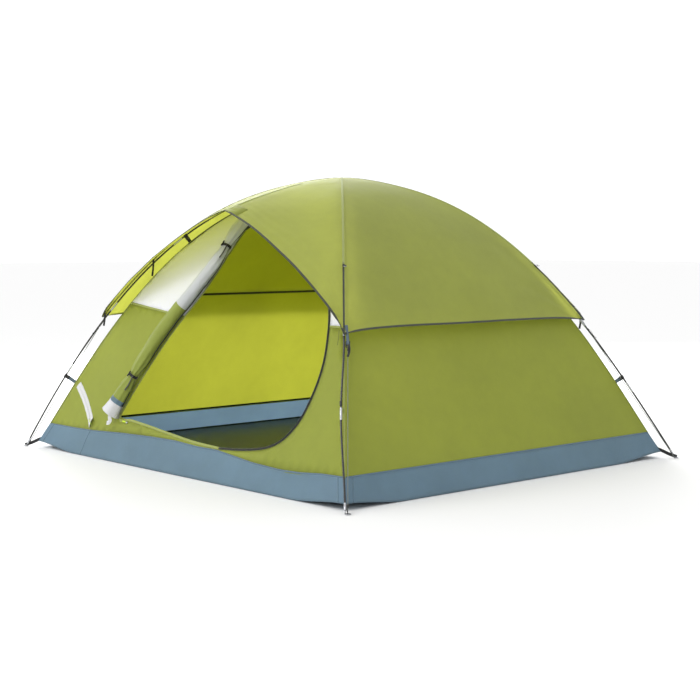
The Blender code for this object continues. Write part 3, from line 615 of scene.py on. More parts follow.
def fly_folds(side, grid, across, along, seed):
    """How far the cloth stands off its drawn shape: soft waves, puckers along the ridge seams, folds
    that fan out from each pulled corner and the stitched line of the hem. Nothing on the ridges."""
    span = np.linalg.norm(grid[:, 0] - grid[:, -1], axis=1)[:, None] / 2
    ridge = (1 - np.abs(across))[None] * span
    run = (1 - along)[:, None] * FLY_RUN + 0 * ridge
    waver = rumple_grid(grid, 0.2, seed + 2)
    broad = 0.0050 * rumple_grid(grid, 0.42, seed) + 0.0013 * rumple_grid(grid, 0.12, seed + 1)
    pucker = 0.0022 * np.sin(2 * math.pi * (run / 0.046 + 0.4 * waver))
    pucker = pucker * (ridge / 0.02) * np.exp(-ridge / 0.02)
    turn = np.arctan2(ridge, run + 1e-6)
    fan = 0.0050 * np.sin(13 * turn + 1.5 * waver) * np.exp(-np.hypot(ridge, run) / 0.17) * fade(ridge, 0.04)
    stitch = -0.0010 * np.exp(-(((run - 0.024) / 0.005) ** 2))
    keep = fade(ridge, 0.06)
    if side in ("front", "rear"):
        keep = keep * fade(np.abs(across)[None] * span, 0.06)
        broad = broad + 0.0022 * np.sin(2 * math.pi * (run / 0.085 + 0.5 * waver)) * np.exp(-run / 0.14)
    return (broad + stitch) * keep + pucker + fan


def fly_alongs():
    """Each row's share of the way from the top to the hem, closer together near the hem."""
    return 1 - (1 - FLY_TOP_SHARE) * np.linspace(0, 1, FLY_ROWS) ** 1.25


def fly_grids():
    across, along = dense_ends(FLY_COLUMNS + 1), fly_alongs()
    grids = {}
    for seed, side in enumerate(SIDES):
        grid = np.array([[fly_place(side, a, t) for a in across] for t in along])
        folds = fly_folds(side, grid, across, along, 11 * seed)
        grids[side] = grid + grid_normals(grid) * folds[:, :, None]
    return grids


def add_fly(grids):
    """All four panels as one sheet, closed over the top, hem at the first row."""
    ring = np.concatenate([grids[side][:, :-1] for side in SIDES], axis=1)
    rows, around = ring.shape[:2]
    points = list(ring.reshape(-1, 3)) + [np.array([0, 0, fly_z(0)])]
    top = (rows - 1) * around
    faces, flat = [], []
    for k, side in enumerate(SIDES):
        uvs = grid_uvs(grids[side]).reshape(rows, FLY_COLUMNS + 1, 2)
        for c in range(FLY_COLUMNS):
            a = k * FLY_COLUMNS + c
            b = (a + 1) % around
            for r in range(rows - 1):
                low, high = r * around, (r + 1) * around
                faces.append((low + a, low + b, high + b, high + a))
                flat += [uvs[r, c], uvs[r, c + 1], uvs[r + 1, c + 1], uvs[r + 1, c]]
            faces.append((top + a, top + b, len(points) - 1))
            flat += [uvs[-1, c], uvs[-1, c + 1], uvs[-1, c]]
    cloth = piece("fly_canopy", points, faces, "fly fly_under", "fly", "fly_fabric",
                  replaces=[f"fly_{side}" for side in SIDES], uvs=flat)
    thicken(cloth, inner=1)
    return ring


def add_fly_trim(grids, ring):
    """The hem's binding, the seams along the ridges and the brow, and the patches over its tips."""
    normals = grid_normals(ring, closed=True)
    hem = lift(ring[0] + unit(ring[1] - ring[0]) * 0.004, normals[0], 0.0005)
    sweep("fly_hem_binding", hem, strap(0.010, 0.0020), "binding", "fly", "fly_fabric", normals[0],
          closed=True)
    rho = fly_alongs() * FLY_CORNER_RHO
    for k, name in enumerate(RIDGES):
        column, up = ring[:, k * FLY_COLUMNS], normals[:, k * FLY_COLUMNS]
        paler, darker = rho < GUY_RHO[name], rho > GUY_RHO[name] - 0.02
        for label, mine, mat, wide, count in (("upper", paler, "seam", 0.011, 90),
                                              ("lower", darker, "dark_seam", 0.010, 40)):
            path = smooth_path(lift(column[mine], up[mine], 0.0004), count)
            at, known = np.linspace(0, 1, count), np.linspace(0, 1, mine.sum())
            ups = np.stack([np.interp(at, known, up[mine][:, i]) for i in range(3)], axis=1)
            sweep(f"ridge_seam_{label}_{name}", path, strap(wide, 0.0016), mat, "fly", "fly_fabric", ups)
    middle = FLY_COLUMNS // 2
    part = (slice(1, 15), slice(middle - 2, middle + 3))
    for side, sign in (("front", -1), ("rear", 1)):
        raised = lift(grids[side][part], grid_normals(grids[side])[part], 0.0012)
        cloth_grid(f"brow_patch_{side}", raised, "fly", "fly", "fly_fabric", 0.0010, inner=0)
        path = smooth_path(grids[side][14:60, middle] + [0, 0, 0.0006], 60)
        sweep(f"brow_seam_{side}", path, strap(0.009, 0.0014), "seam", "fly", "fly_fabric",
              (0, 0.4 * sign, 1))


# ---- the tub ----
FRONT_TUB_TOP = [(-1.20, 0.121), (-0.95, 0.121), (-0.77, 0.124), (-0.50, 0.136), (-0.24, 0.143),
                 (-0.04, 0.145), (0.15, 0.137), (0.30, 0.138), (0.58, 0.113), (0.77, 0.106), (0.91, 0.109),
                 (1.06, 0.120), (1.20, 0.123)]
TUB_SIDE_STEPS, TUB_WALL_ROWS, TUB_FOOT = 96, 18, 0.0035
SEW_LAP = 0.006
DARTS = {"front_a": (1.155, -1.05), "front_b": (-0.80, -1.05), "front_c": (-1.155, -1.05),
         "right_a": (1.2, -1.005), "left_a": (-1.2, -1.005), "rear_a": (1.155, 1.05),
         "rear_b": (-1.155, 1.05)}


def front_tub_top(x):
    xs, zs = zip(*FRONT_TUB_TOP)
    return float(np.interp(x, xs, zs))


def corner_lift(x, y):
    """How far the floor's edge rises near a corner, where the pole's foot pulls it up."""
    away = math.hypot(FLOOR_X - abs(x), FLOOR_Y - abs(y))
    near = max(0.0, 1 - away / TUB_LIFT_REACH)
    return TUB_CORNER_LIFT * near * near * (3 - 2 * near)


def add_tub():
    """One sheet from the middle of the floor out to its edge and up the four walls."""
    steps = dense_ends(TUB_SIDE_STEPS + 1)[:-1]
    loop = [(u * FLOOR_X, -FLOOR_Y) for u in steps] + [(FLOOR_X, u * FLOOR_Y) for u in steps]
    loop = np.array(loop + [(-x, -y) for x, y in loop])
    shares = np.concatenate([np.linspace(0.02, 0.97, 30), [0.98, 0.988, 0.994, 0.998]])
    rows = []
    for share in shares:
        row = np.array([[x * share, y * share, corner_lift(x * share, y * share)] for x, y in loop])
        row[:, 2] += 0.0045 * fade(1 - share, 0.15) * (0.5 + 0.5 * rumple(row, 0.22, 5))
        row[:, 2] += 0.0015 * max(0.0, (share - 0.985) / 0.015) ** 2
        rows.append(row)
    low = np.array([corner_lift(x, y) for x, y in loop])
    tops = np.array([front_tub_top(x) if y < -0.999 * FLOOR_Y else TUB_TOP + 0.0025 for x, y in loop])
    lean = cabin_rho(TUB_TOP) / HALF_DIAGONAL
    shares_up = np.linspace(0, 1, TUB_WALL_ROWS + 1)
    for share in shares_up:
        z = low + TUB_FOOT + (tops - low - TUB_FOOT) * share
        pull = 1 + (lean - 1) * (z - low) / (TUB_TOP - low)
        rows.append(np.stack([loop[:, 0] * pull, loop[:, 1] * pull, z], axis=1))
    grid = np.array(rows)
    wall = grid[len(shares):]
    corner_gap = np.abs(np.abs(wall[:, :, 0]) - FLOOR_X) + np.abs(np.abs(wall[:, :, 1]) - FLOOR_Y)
    folds = 0.0040 * rumple_grid(wall, 0.20, 3) + 0.0013 * rumple_grid(wall, 0.05, 4)
    folds += 0.0030 * (creases(wall * np.array([1, 1, 0.5]), 0.16, 6) - 0.4)
    folds = folds * np.sin(math.pi * shares_up)[:, None] * fade(corner_gap, 0.05)
    folds = folds + 0.0012 * fade(shares_up, 1)[:, None]
    grid[len(shares):] = wall + grid_normals(wall, closed=True) * folds[:, :, None]
    count = len(loop)
    points = list(grid.reshape(-1, 3)) + [np.array([0, 0, 0.002])]
    faces = grid_faces(len(grid), count, closed=True)
    kinds = [2 if f[0] < (len(shares) + 1) * count else 0 for f in faces] + [2] * count
    faces += [((c + 1) % count, c, len(points) - 1) for c in range(count)]
    flat = np.concatenate([grid[:, :, :2].reshape(-1, 2), [[0, 0]]])
    rise = np.concatenate([grid[:, :, 2].ravel(), [0]])
    tub = piece("tub_sheet", points, faces, "tub tub_inside tub floor_inside", slot="tub_fabric",
                replaces=["floor_tub"], uvs=flat * (1 + rise / FLOOR_X)[:, None], kinds=kinds)
    thicken(tub, inner=1)
    return grid[len(shares):]


def add_tub_seams(wall):
    """Bound top edge, and the stitched darts near the corners."""
    normals = grid_normals(wall, closed=True)
    edge = lift(wall[-1], normals[-1], 0.0004)
    sweep("tub_top_piping", edge, strap(0.006, 0.0016), "tub_piping", slot="tub_fabric", ups=normals[-1],
          closed=True)
    for name, (x, y) in DARTS.items():
        column = int(np.argmin(np.hypot(wall[0, :, 0] - x, wall[0, :, 1] - y)))
        path = smooth_path(lift(wall[:, column], normals[:, column], 0.0003), 24)
        sweep(f"tub_dart_{name}", path, strap(0.005, 0.0010), "tub_piping", slot="tub_fabric",
              ups=normals[5, column])


# ---- the cabin ----
WALL_COLUMNS, WALL_ROWS, CANOPY_COLUMNS, CANOPY_ROWS = 61, 48, 41, 44
CANOPY_TOP_SHARE, CORNER_SEAM_TOP = 0.01, 1.30


def wall_folds(grid, across, heights, seed):
    span = np.linalg.norm(grid[:, 0] - grid[:, -1], axis=1)[:, None] / 2
    corner = (1 - np.abs(across))[None] * span
    ends = np.minimum(heights - heights[0], heights[-1] - heights)[:, None]
    stretched = grid * np.array([1, 1, 0.55])
    folds = 0.0065 * rumple_grid(grid, 0.55, seed) + 0.0030 * (creases(stretched, 0.30, seed + 1) - 0.35)
    folds += 0.0012 * rumple_grid(grid, 0.10, seed + 2)
    ripple = 0.0014 * np.sin(2 * math.pi * heights[:, None] / 0.05 + 3 * rumple_grid(grid, 0.2, seed + 3))
    return folds * fade(corner, 0.08) * fade(ends, 0.05) + ripple * (corner / 0.03) * np.exp(-corner / 0.03)


def add_walls():
    across = dense_ends(WALL_COLUMNS)
    heights = np.linspace(TUB_TOP - SEW_LAP, SIDE_SEAM_Z, WALL_ROWS)
    for seed, side in enumerate(SIDES[:3]):
        grid = np.array([[wall_place(side, a, cabin_rho(z), z) for a in across] for z in heights])
        grid = grid + grid_normals(grid) * wall_folds(grid, across, heights, 20 + 9 * seed)[:, :, None]
        wall = cloth_grid(f"wall_sheet_{side}", grid, "wall wall_inside", replaces=[f"{side}_wall"])


def add_canopy():
    """The upper cabin on its right, rear and left sides, one sheet up to the apex."""
    low = cabin_rho(SIDE_SEAM_Z)
    across = dense_ends(CANOPY_COLUMNS)
    shares = np.linspace(1, CANOPY_TOP_SHARE, CANOPY_ROWS)
    grids = [np.array([[wall_place(side, a, low * t, cabin_z(low * t)) for a in across] for t in shares])
             for side in SIDES[:3]]
    grid = np.concatenate([grids[0], grids[1][:, 1:], grids[2][:, 1:]], axis=1)
    seams = np.concatenate([across, across[1:], across[1:]])
    keep = fade((1 - np.abs(seams))[None] * (low * shares)[:, None], 0.08)
    keep = keep * fade((1 - shares) * low, 0.05)[:, None]
    grid = grid + grid_normals(grid) * (0.004 * rumple_grid(grid, 0.35, 61) * keep)[:, :, None]
    cloth = cloth_grid("canopy_sheet", grid, "wall wall_inside", replaces=["roof_canopy"])


def cabin_normal(side, z):
    share = DIAG_X if side in ("right", "left") else DIAG_Y
    flat = np.array(wall_place(side, 0, 1, 0)) / share
    return unit(flat * -slope(cabin_z, cabin_rho(z)) + np.array([0, 0, share]))


def add_cabin_bands():
    """The dark bindings inside, over the side seam and over the tub's top, and the seams at the corners."""
    for side in SIDES[:3]:
        for label, z, wide in (("seam", SIDE_SEAM_Z, 0.014), ("sill", TUB_TOP + 0.004, 0.010)):
            normal = cabin_normal(side, z)
            line = np.array([wall_place(side, a, cabin_rho(z), z) for a in np.linspace(-0.985, 0.985, 60)])
            line = line - normal * 0.0024
            sweep(f"inner_{label}_{side}", line, strap(wide, 0.0014), "dark_seam", ups=-normal)
    for corner in map(Corner, CORNERS):
        path = [corner.place(cabin_rho(z) + 0.0005, z) for z in np.linspace(TUB_TOP, CORNER_SEAM_TOP, 90)]
        sweep(f"corner_seam_{corner.name}", path, strap(0.007, 0.0030), "wall_seam", ups=corner.out)


# ---- the front wall, its netting and the doorway ----
DOOR_EDGE = [(-0.190, 1.120), (-0.100, 1.170), (0.250, 1.110), (0.520, 0.965), (0.700, 0.790), (0.788, 0.620),
             (0.812, 0.480), (0.785, 0.330), (0.721, 0.238), (0.630, 0.187), (0.480, 0.160), (0.301, 0.147),
             (0.104, 0.154), (-0.119, 0.173), (-0.300, 0.190), (-0.440, 0.201), (-0.540, 0.207)]
HINGE_EDGE = [(-0.540, 0.207), (-0.465, 0.400), (-0.355, 0.625), (-0.240, 0.820), (-0.195, 1.000),
              (-0.190, 1.120)]
PANEL_STEP = 0.028
LEFT_SEAM_RISE = 0.050
BINDING_LOW_Z, BINDING_TOP_Z = 1.05, 1.24
FRONT_APEX_Z = cabin_z(0.02)


def front_place(x, z, out=0.0):
    rho = cabin_rho(z)
    return np.array([x, -rho * DIAG_Y, z]) + unit([0, slope(cabin_z, rho), DIAG_Y]) * out


def front_normal(z):
    return unit(front_place(0, z, 1.0) - front_place(0, z))


def along_line(a, b, step=PANEL_STEP):
    count = max(1, round(math.dist(a, b) / step))
    return [tuple(np.array(a) + (np.array(b) - np.array(a)) * i / count) for i in range(count)]


def crossing(line, z):
    for a, b in zip(line, line[1:]):
        if (a[1] - z) * (b[1] - z) <= 0:
            return (a[0] + (b[0] - a[0]) * (z - a[1]) / (b[1] - a[1]), z)
    raise ValueError("the line never crosses that height")


def front_panel(name, outline, mats, slot, replaced, seed, depth=0.004):
    """A panel of the front wall from a loop of (x, z), anticlockwise seen from outside."""
    loop = [Vector((x, -cabin_rho(z))) for x, z in outline]
    xs, ys = [p.x for p in loop], [p.y for p in loop]
    free = []
    for i, x in enumerate(np.arange(min(xs) + PANEL_STEP, max(xs), PANEL_STEP)):
        for y in np.arange(min(ys) + PANEL_STEP, max(ys), PANEL_STEP):
            spot = Vector((x, y + (i % 2) * PANEL_STEP / 2))
            if min((spot - p).length_squared for p in loop) > (0.45 * PANEL_STEP) ** 2:
                free.append(spot)
    count = len(loop)
    edges = [(i, (i + 1) % count) for i in range(count)]
    made, _, faces, *_ = delaunay_2d_cdt(loop + free, edges, [tuple(range(count))], 1, 1e-6)
    a, b, c = (made[i] for i in faces[0][:3])
    if (b - a).cross(c - a) < 0:
        faces = flipped(faces)
    points = np.array([(p.x, p.y * DIAG_Y, cabin_z(-p.y)) for p in made])
    flat = np.array([tuple(p) for p in made])
    away = np.min(np.linalg.norm(flat[:, None] - np.array([tuple(p) for p in loop])[None], axis=2), axis=1)
    folds = depth * (rumple(points, 0.30, seed) + 0.3 * rumple(points, 0.09, seed + 1)) * fade(away, 0.07)
    points = points + np.array([front_normal(z) for z in points[:, 2]]) * folds[:, None]
    uvs = np.stack([flat[:, 0], points[:, 2]], 1)
    return thicken(piece(name, points, faces, mats, slot=slot, replaces=[replaced], uvs=uvs), inner=1)


def seam_side(z_low, z_high, sign):
    count = max(2, round(abs(z_high - z_low) / PANEL_STEP))
    return [(sign * cabin_rho(z) * DIAG_X, z) for z in np.linspace(z_low, z_high, count)]


def door_edge_parts(z):
    """The doorway's edge below and above the height z: (hinge crossing, zip crossing, below, above)."""
    hinge = [tuple(p) for p in smooth_path(HINGE_EDGE, 40)]
    zipped = [tuple(p) for p in smooth_path(DOOR_EDGE, 110)]
    near = 0.35 * PANEL_STEP
    below = [p for p in zipped[1:] if p[1] < z - near] + [p for p in hinge[1:] if p[1] < z - near]
    above = [p for p in hinge if p[1] > z + near] + [p for p in zipped[1:] if p[1] > z + near]
    return crossing(hinge, z), crossing(zipped, z), below, above


def add_front_wall():
    z = FRONT_SEAM_Z
    hinge_cross, zip_cross, below, above = door_edge_parts(z)
    low = TUB_TOP - SEW_LAP
    edge_x = cabin_rho(low) * DIAG_X
    bottom = [(x, front_tub_top(x) - SEW_LAP) for x in np.linspace(-edge_x, edge_x, 84)]
    outline = bottom[:-1] + seam_side(low, z, 1)[:-1] + along_line((cabin_rho(z) * DIAG_X, z), zip_cross)
    outline += [zip_cross] + below + [hinge_cross]
    left_z = z + LEFT_SEAM_RISE
    left_end = (-cabin_rho(left_z) * DIAG_X, left_z)
    outline += along_line(hinge_cross, left_end)[1:] + seam_side(left_z, low, -1)[:-1]
    wall = front_panel("wall_sheet_front", outline, "wall wall_inside", "wall_fabric", "front_wall", 71)
    right_side, left_side = (seam_side(start, FRONT_APEX_Z, sign) for start, sign in ((z, 1), (left_z, -1)))
    outline = along_line(left_end, hinge_cross) + [hinge_cross] + above + [zip_cross]
    outline += along_line(zip_cross, right_side[0])[1:] + right_side[:-1] + left_side[::-1][:-1]
    net = front_panel("netting_sheet", outline, "netting netting", "white_netting", "front_mesh", 75, 0.003)
    for name, a, b in (("left", left_end, hinge_cross), ("right", zip_cross, right_side[0])):
        path = [front_place(*spot, 0.0010) for spot in np.linspace(a, b, 24)]
        sweep(f"front_seam_{name}", path, strap(0.010, 0.0018), "wall_seam", ups=front_normal(z))
    heights = np.linspace(BINDING_LOW_Z, BINDING_TOP_Z, 30)
    top = [front_place(-cabin_rho(h) * DIAG_X * 0.985, h, 0.0012) for h in heights]
    sweep("net_binding", top, strap(0.011, 0.0020), "dark_seam", ups=[front_normal(h) for h in heights])


def add_door_zip():
    """Along the doorway: a bound edge, the zip's tape and coil on it, and the seam on the hinge side."""
    zipped, hinge = DOOR_EDGE[:-5], DOOR_EDGE[-6:] + HINGE_EDGE[1:]
    teeth = np.where(np.arange(700) % 2, 1.0, 0.72)
    for name, line, count, out, profile, mat, scale in (
            ("door_edge_binding", zipped, 190, 0.0012, strap(0.011, 0.0020), "edge_binding", None),
            ("door_zip_tape", zipped, 190, 0.0034, strap(0.0085, 0.0020), "black", None),
            ("door_zip_coil", zipped, 700, 0.0052, oval(0.0018, 0.0012, 6), "zip", teeth),
            ("door_hinge_seam", hinge, 140, 0.0010, strap(0.012, 0.0018), "wall_seam", None)):
        flat = smooth_path(line, count)
        ups = [front_normal(z) for _, z in flat]
        sweep(name, [front_place(x, z, out) for x, z in flat], profile, mat, ups=ups, scale=scale)


# ---- the rolled door ----
ROLL_LINE = [(-0.590, 0.212), (-0.500, 0.400), (-0.395, 0.625), (-0.275, 0.820), (-0.212, 0.960),
             (-0.195, 1.150)]
ROLL_HALF_WIDTH, ROLL_HALF_DEPTH = 0.042, 0.030
ROLL_TURNS, ROLL_ROWS, ROLL_COLUMNS = 7.6, 190, 240
ROLL_CORE, ROLL_CLOTH, ROLL_EDGE_ANGLE = 0.18, 0.0007, math.radians(-38)
PLEAT_REACH, OPEN_END, OPEN_END_REACH, MOST_SWELL = 0.11, 0.44, 0.13, 1.12
TIE_HEIGHTS = {"lower": 0.400, "upper": 1.020}
TIE_KEEP, TIE_REACH = 0.60, 0.046
NET_STARTS_Z, BAND_TOP_Z, COLLAR_TOP_Z = 0.735, 0.284, 0.264


def roll_pinch(z):
    return 1 - (1 - TIE_KEEP) * sum(math.exp(-(((z - tie) / TIE_REACH) ** 2)) for tie in TIE_HEIGHTS.values())


def roll_frames(count):
    """Along the roll: centre, wall's normal, direction across to the right, direction up, height."""
    line = smooth_path(ROLL_LINE, count)
    wall = np.array([front_place(x, z) for x, z in line])
    ahead = unit(np.gradient(wall, axis=0))
    normal = np.array([front_normal(z) for _, z in line])
    return wall + normal * (ROLL_HALF_DEPTH + 0.003), normal, unit(np.cross(ahead, normal)), ahead, line[:, 1]


def add_door_roll():
    """The door's cloth wound in on itself, tighter under the ties, its netting half at the top."""
    centre, normal, across, _, heights = roll_frames(ROLL_ROWS)
    turn = np.linspace(0, 1, ROLL_COLUMNS)
    angle = 2 * math.pi * ROLL_TURNS * (turn - 1) + ROLL_EDGE_ANGLE
    share = ROLL_CORE + (1 - ROLL_CORE) * turn
    rows, kinds = [], []
    for k, z in enumerate(heights):
        near = sum(math.exp(-(((z - tie) / PLEAT_REACH) ** 2)) for tie in TIE_HEIGHTS.values())
        round_it = np.stack([np.cos(angle), np.sin(angle)], axis=1) * (share * 0.05)[:, None]
        at = np.column_stack([round_it, np.full_like(angle, z * 0.35)])
        swell = 1 + 0.10 * rumple(at, 0.035, 81) + 0.05 * rumple(at * [1, 1, 3], 0.02, 82)
        swell = swell + 0.13 * near * np.sin(7 * angle + 9 * z) - 0.02
        open_end = 1 + OPEN_END * max(0.0, 1 - (z - heights[0]) / OPEN_END_REACH) ** 2
        size = roll_pinch(z) * share * np.minimum(swell, MOST_SWELL) * open_end
        side = across[k] * (ROLL_HALF_WIDTH * size * np.cos(angle))[:, None]
        rows.append(centre[k] + side + normal[k] * (ROLL_HALF_DEPTH * size * np.sin(angle))[:, None])
        kind = 6 if z < COLLAR_TOP_Z else 4 if z < BAND_TOP_Z else 0 if z < NET_STARTS_Z else 2
        kinds += [kind] * (ROLL_COLUMNS - 1)
    grid = np.array(rows)[:, ::-1]
    cloth = cloth_grid("door_sheet", grid, "roll roll net_roll net_roll tub tub white white",
                       thickness=ROLL_CLOTH, flip=True, replaces=["door_roll"],
                       kinds=kinds[:1 - ROLL_COLUMNS])
    # A dark tube along the roll's right edge: painted shade, standing for the shade on that side of the roll.
    edge = grid[:, 0] + across * 0.0005 + normal * 0.0008
    sweep("door_roll_piping", edge[heights > COLLAR_TOP_Z], disc(0.0026, 8), "binding")


TOGGLE_PROFILE = [(-0.5, 0.55), (-0.47, 0.85), (-0.42, 1), (-0.2, 1), (-0.12, 0.95), (-0.10, 0.72),
                  (0.10, 0.72), (0.12, 0.95), (0.2, 1), (0.42, 1), (0.47, 0.85), (0.5, 0.55)]
TOGGLE_LENGTH, TOGGLE_RADIUS = 0.030, 0.0035


def add_door_ties():
    centre, normal, across, ahead, heights = roll_frames(240)
    for level, height in TIE_HEIGHTS.items():
        k = int(np.argmin(np.abs(heights - height)))
        size = roll_pinch(height)
        wide, deep = ROLL_HALF_WIDTH * size + 0.0036, ROLL_HALF_DEPTH * size + 0.0036
        plane = (across[k], normal[k])
        out = spots(0, plane, oval(deep, wide, 48))
        loop = spots(centre[k], plane, oval(wide, deep, 48))
        sweep(f"door_tie_band_{level}", loop, strap(0.014, 0.0018), "black", slot="black_elastic",
              ups=unit(out), closed=True, replaces=[f"door_tie_{level}"])
        pivot = centre[k] + normal[k] * (ROLL_HALF_DEPTH * size + 0.003 + 0.0018 + 0.0008 + TOGGLE_RADIUS)
        barrel = [pivot + ahead[k] * s * TOGGLE_LENGTH for s, _ in TOGGLE_PROFILE]
        sweep(f"door_toggle_barrel_{level}", barrel, disc(TOGGLE_RADIUS, 16), "plastic", f"toggle_{level}",
              "black_plastic", scale=[r for _, r in TOGGLE_PROFILE], replaces=[f"door_toggle_{level}"])
        knot = centre[k] + across[k] * (wide * 0.8) + normal[k] * (deep * 0.75)
        tail = spots(knot, (across[k], ahead[k], normal[k]),
                     [(0, 0, 0), (0.010, -0.012, 0.004), (0.013, -0.045, 0.002), (0.008, -0.078, 0)])
        ribbon(f"door_tie_tail_{level}", tail, (0.085, 0.010), "black", normal[k], "tent",
               "black_elastic")


def add_white_curl():
    """The white tape of the door's bottom, turned over on itself."""
    centre, normal, across, ahead, _ = (values[0] for values in roll_frames(120))
    base = centre + across * 0.020 + normal * 0.012
    hang = spots(base, (ahead, across, normal, (0.0, 0.0, -1.0)),
                 [(0.02, 0, 0, 0), (0, 0.004, 0, 0.010), (0, 0.008, 0, 0.028), (0, -0.002, 0.006, 0.044),
                  (0, -0.016, 0.010, 0.052)])
    ribbon("door_curl", hang, (0.09, 0.020), "white", normal + 0.5 * across, "tent", "white_tape")


# ---- the vent ----
VENT_LINE = [(-0.762, 0.150), (-1.005, 0.328)]
VENT_HALF_WIDTH = 0.019


def add_vent():
    rows, columns = 60, 9
    a, b = np.array(VENT_LINE[0]), np.array(VENT_LINE[1])
    side = unit(np.array([(b - a)[1], -(b - a)[0]]))
    grid = []
    for t in np.linspace(0, 1, rows):
        middle = a + (b - a) * t + side * 0.010 * math.sin(math.pi * t)
        foot = max(0.0, 1 - t / 0.16) ** 2
        row = []
        for v in np.linspace(1, -1, columns):
            x, z = middle + side * v * VENT_HALF_WIDTH * (1 + 0.25 * foot)
            out = 0.0022 + 0.0022 * (1 - v * v) + 0.010 * foot * (1 + v) + 0.0006 * math.sin(40 * t + 2 * v)
            row.append(front_place(x, z, out))
        grid.append(row)
    grid = np.array(grid)
    tape = cloth_grid("vent_tape_sheet", grid, "white", slot="white_tape", thickness=0.0010, inner=0,
                      flip=True, replaces=["vent_tape"])
    middle, normal = (values[4:-2, columns // 2] for values in (grid, -grid_normals(grid)))
    path = smooth_path(lift(middle, normal, 0.0014), 150)
    teeth = np.where(np.arange(150) % 2, 1.25, 0.8)
    sweep("vent_zip_coil", path, oval(0.0020, 0.0011, 6), "white", slot="white_tape", ups=front_normal(0.24),
          scale=teeth)


SLIDER_BODY = [(u, 0.0020) for u in (-0.0045, -0.0035, 0, 0.0050, 0.0085, 0.0095)]
SLIDER_BRIDGE = [(-0.0030, 0.0036), (-0.0010, 0.0058), (0.0040, 0.0060), (0.0070, 0.0038)]
SLIDER_PULL = [(0.0010, 0.0050), (-0.0060, 0.0044), (-0.0160, 0.0036), (-0.0340, 0.0028)]


def add_slider(kind, start, end, clear):
    """A zip slider: a waisted body, a bridge over it and a long moulded pull."""
    name, body = f"{kind}_zip_slider", f"{kind}_zip"
    a, b = front_place(*start), front_place(*end)
    normal = front_normal((start[1] + end[1]) / 2)
    ahead = unit(b - a)
    normal = unit(normal - ahead * (normal @ ahead))
    base, axes = a + normal * clear, (ahead, normal)
    sweep(f"{name}_body", spots(base, axes, SLIDER_BODY), strap(0.0085, 0.0034), "steel", body,
          "yellow_plastic", normal, scale=[0.80, 0.95, 0.82, 1.0, 1.0, 0.85])
    bridge = smooth_path(spots(base, axes, SLIDER_BRIDGE), 16)
    sweep(f"{name}_bridge", bridge, strap(0.0028, 0.0011), "steel", body, "yellow_plastic",
          np.cross(np.cross(normal, ahead), ahead))
    pull = smooth_path(spots(base, axes, SLIDER_PULL), 30)
    t = np.linspace(0, 1, 30)
    sizes = 0.55 + 0.45 * fade(t, 0.5) - 0.16 * np.exp(-((t - 0.97) / 0.05) ** 2)
    ribs = 1 + 0.05 * np.sin(t * 60) * (t > 0.5)
    sweep(f"{name}_pull", pull, strap(0.0078, 0.0026), "neon", body, "yellow_plastic", normal,
          scale=sizes * ribs, replaces=[f"{kind}_slider"])


# ---- the poles ----
POLE_ENDS = {"pole_a": ("front_left", "rear_right", -1), "pole_b": ("front_right", "rear_left", 1)}
LEG_SECTIONS = {"front_left": (0.460, 0.400), "front_right": (0.411, 0.398), "rear_right": (0.386, 0.381),
                "rear_left": (0.400, 0.400)}
POLE_RADIUS, POLE_END_Z, ARCH_SECTIONS, SECTIONS = 0.00425, 0.014, 6, 10
FERRULE_LENGTH, FERRULE_RADIUS, TIP_LENGTH = 0.055, 0.0050, 0.030
FERRULE_GAP = 0.0006
BROW_ROD_REACH, BROW_ROD_DROP, BROW_ROD_RADIUS = 0.722, 0.0075, 0.0040
FERRULE = [(FERRULE_LENGTH / 2, 0.0040), (FERRULE_LENGTH / 2 - 0.0006, FERRULE_RADIUS),
           (0.0205, FERRULE_RADIUS), (0.0198, 0.0047), (0.0185, 0.0047), (0.0178, FERRULE_RADIUS)]
TIP = [(0.020, 0.0024), (0, 0.0024), (0, 0.0040), (0.0008, FERRULE_RADIUS), (0.0125, FERRULE_RADIUS),
       (0.0132, 0.0046), (0.0150, 0.0046), (0.0157, FERRULE_RADIUS), (0.029, FERRULE_RADIUS), (0.030, 0.0044)]


def pole_bow(rho):
    """How far the front right leg leans sideways between the fly and its foot; rho is negative there."""
    share = (-rho - FLY_CORNER_RHO) / (POLE_A - FLY_CORNER_RHO)
    return FRONT_LEG_BOW * math.sin(math.pi * min(1.0, share)) ** 2 if share > 0 else 0.0


class PolePath:
    """The centre line of a main pole from one foot to the other, by length."""

    def __init__(self, start, over):
        self.start, self.over = start, over
        rho = np.linspace(-POLE_A, POLE_A, 4001)
        z = np.array([pole_z(r, over) for r in rho])
        keep = z >= POLE_END_Z
        self.rho = rho[keep]
        self.along = lengths(np.stack([self.rho, z[keep]], axis=1))
        self.length = self.along[-1]

    def place(self, rho):
        sx, sy = self.start
        reach = rho - rear_lean(rho) if self.start == CORNERS["front_left"] and rho > 0 else rho
        here = np.array([-reach * sx * DIAG_X, -reach * sy * DIAG_Y, pole_z(rho, self.over)])
        if self.start == CORNERS["front_right"]:
            here -= np.array([DIAG_Y, DIAG_X, 0]) * pole_bow(rho)
        return here

    def at(self, s):
        return self.place(float(np.interp(s, self.along, self.rho)))


def turned(name, path, marks, sides, mat, slot, **more):
    """Rings of (length, radius) on a pole's line, capped at both ends."""
    turns = np.linspace(0, 2 * math.pi, sides, endpoint=False)
    level = unit(np.array([path.start[1] * DIAG_Y, -path.start[0] * DIAG_X, 0]))
    rings = []
    for s, radius in marks:
        ahead = unit(path.at(s + 0.001) - path.at(s - 0.001))
        up = unit(np.cross(ahead, level))
        round_it = np.outer(np.cos(turns), up) + np.outer(np.sin(turns), np.cross(ahead, up))
        rings.append(path.at(s) + radius * round_it)
    return piece(name, np.concatenate(rings), tube_faces(len(rings), sides), mat, slot=slot, sharp=30, **more)


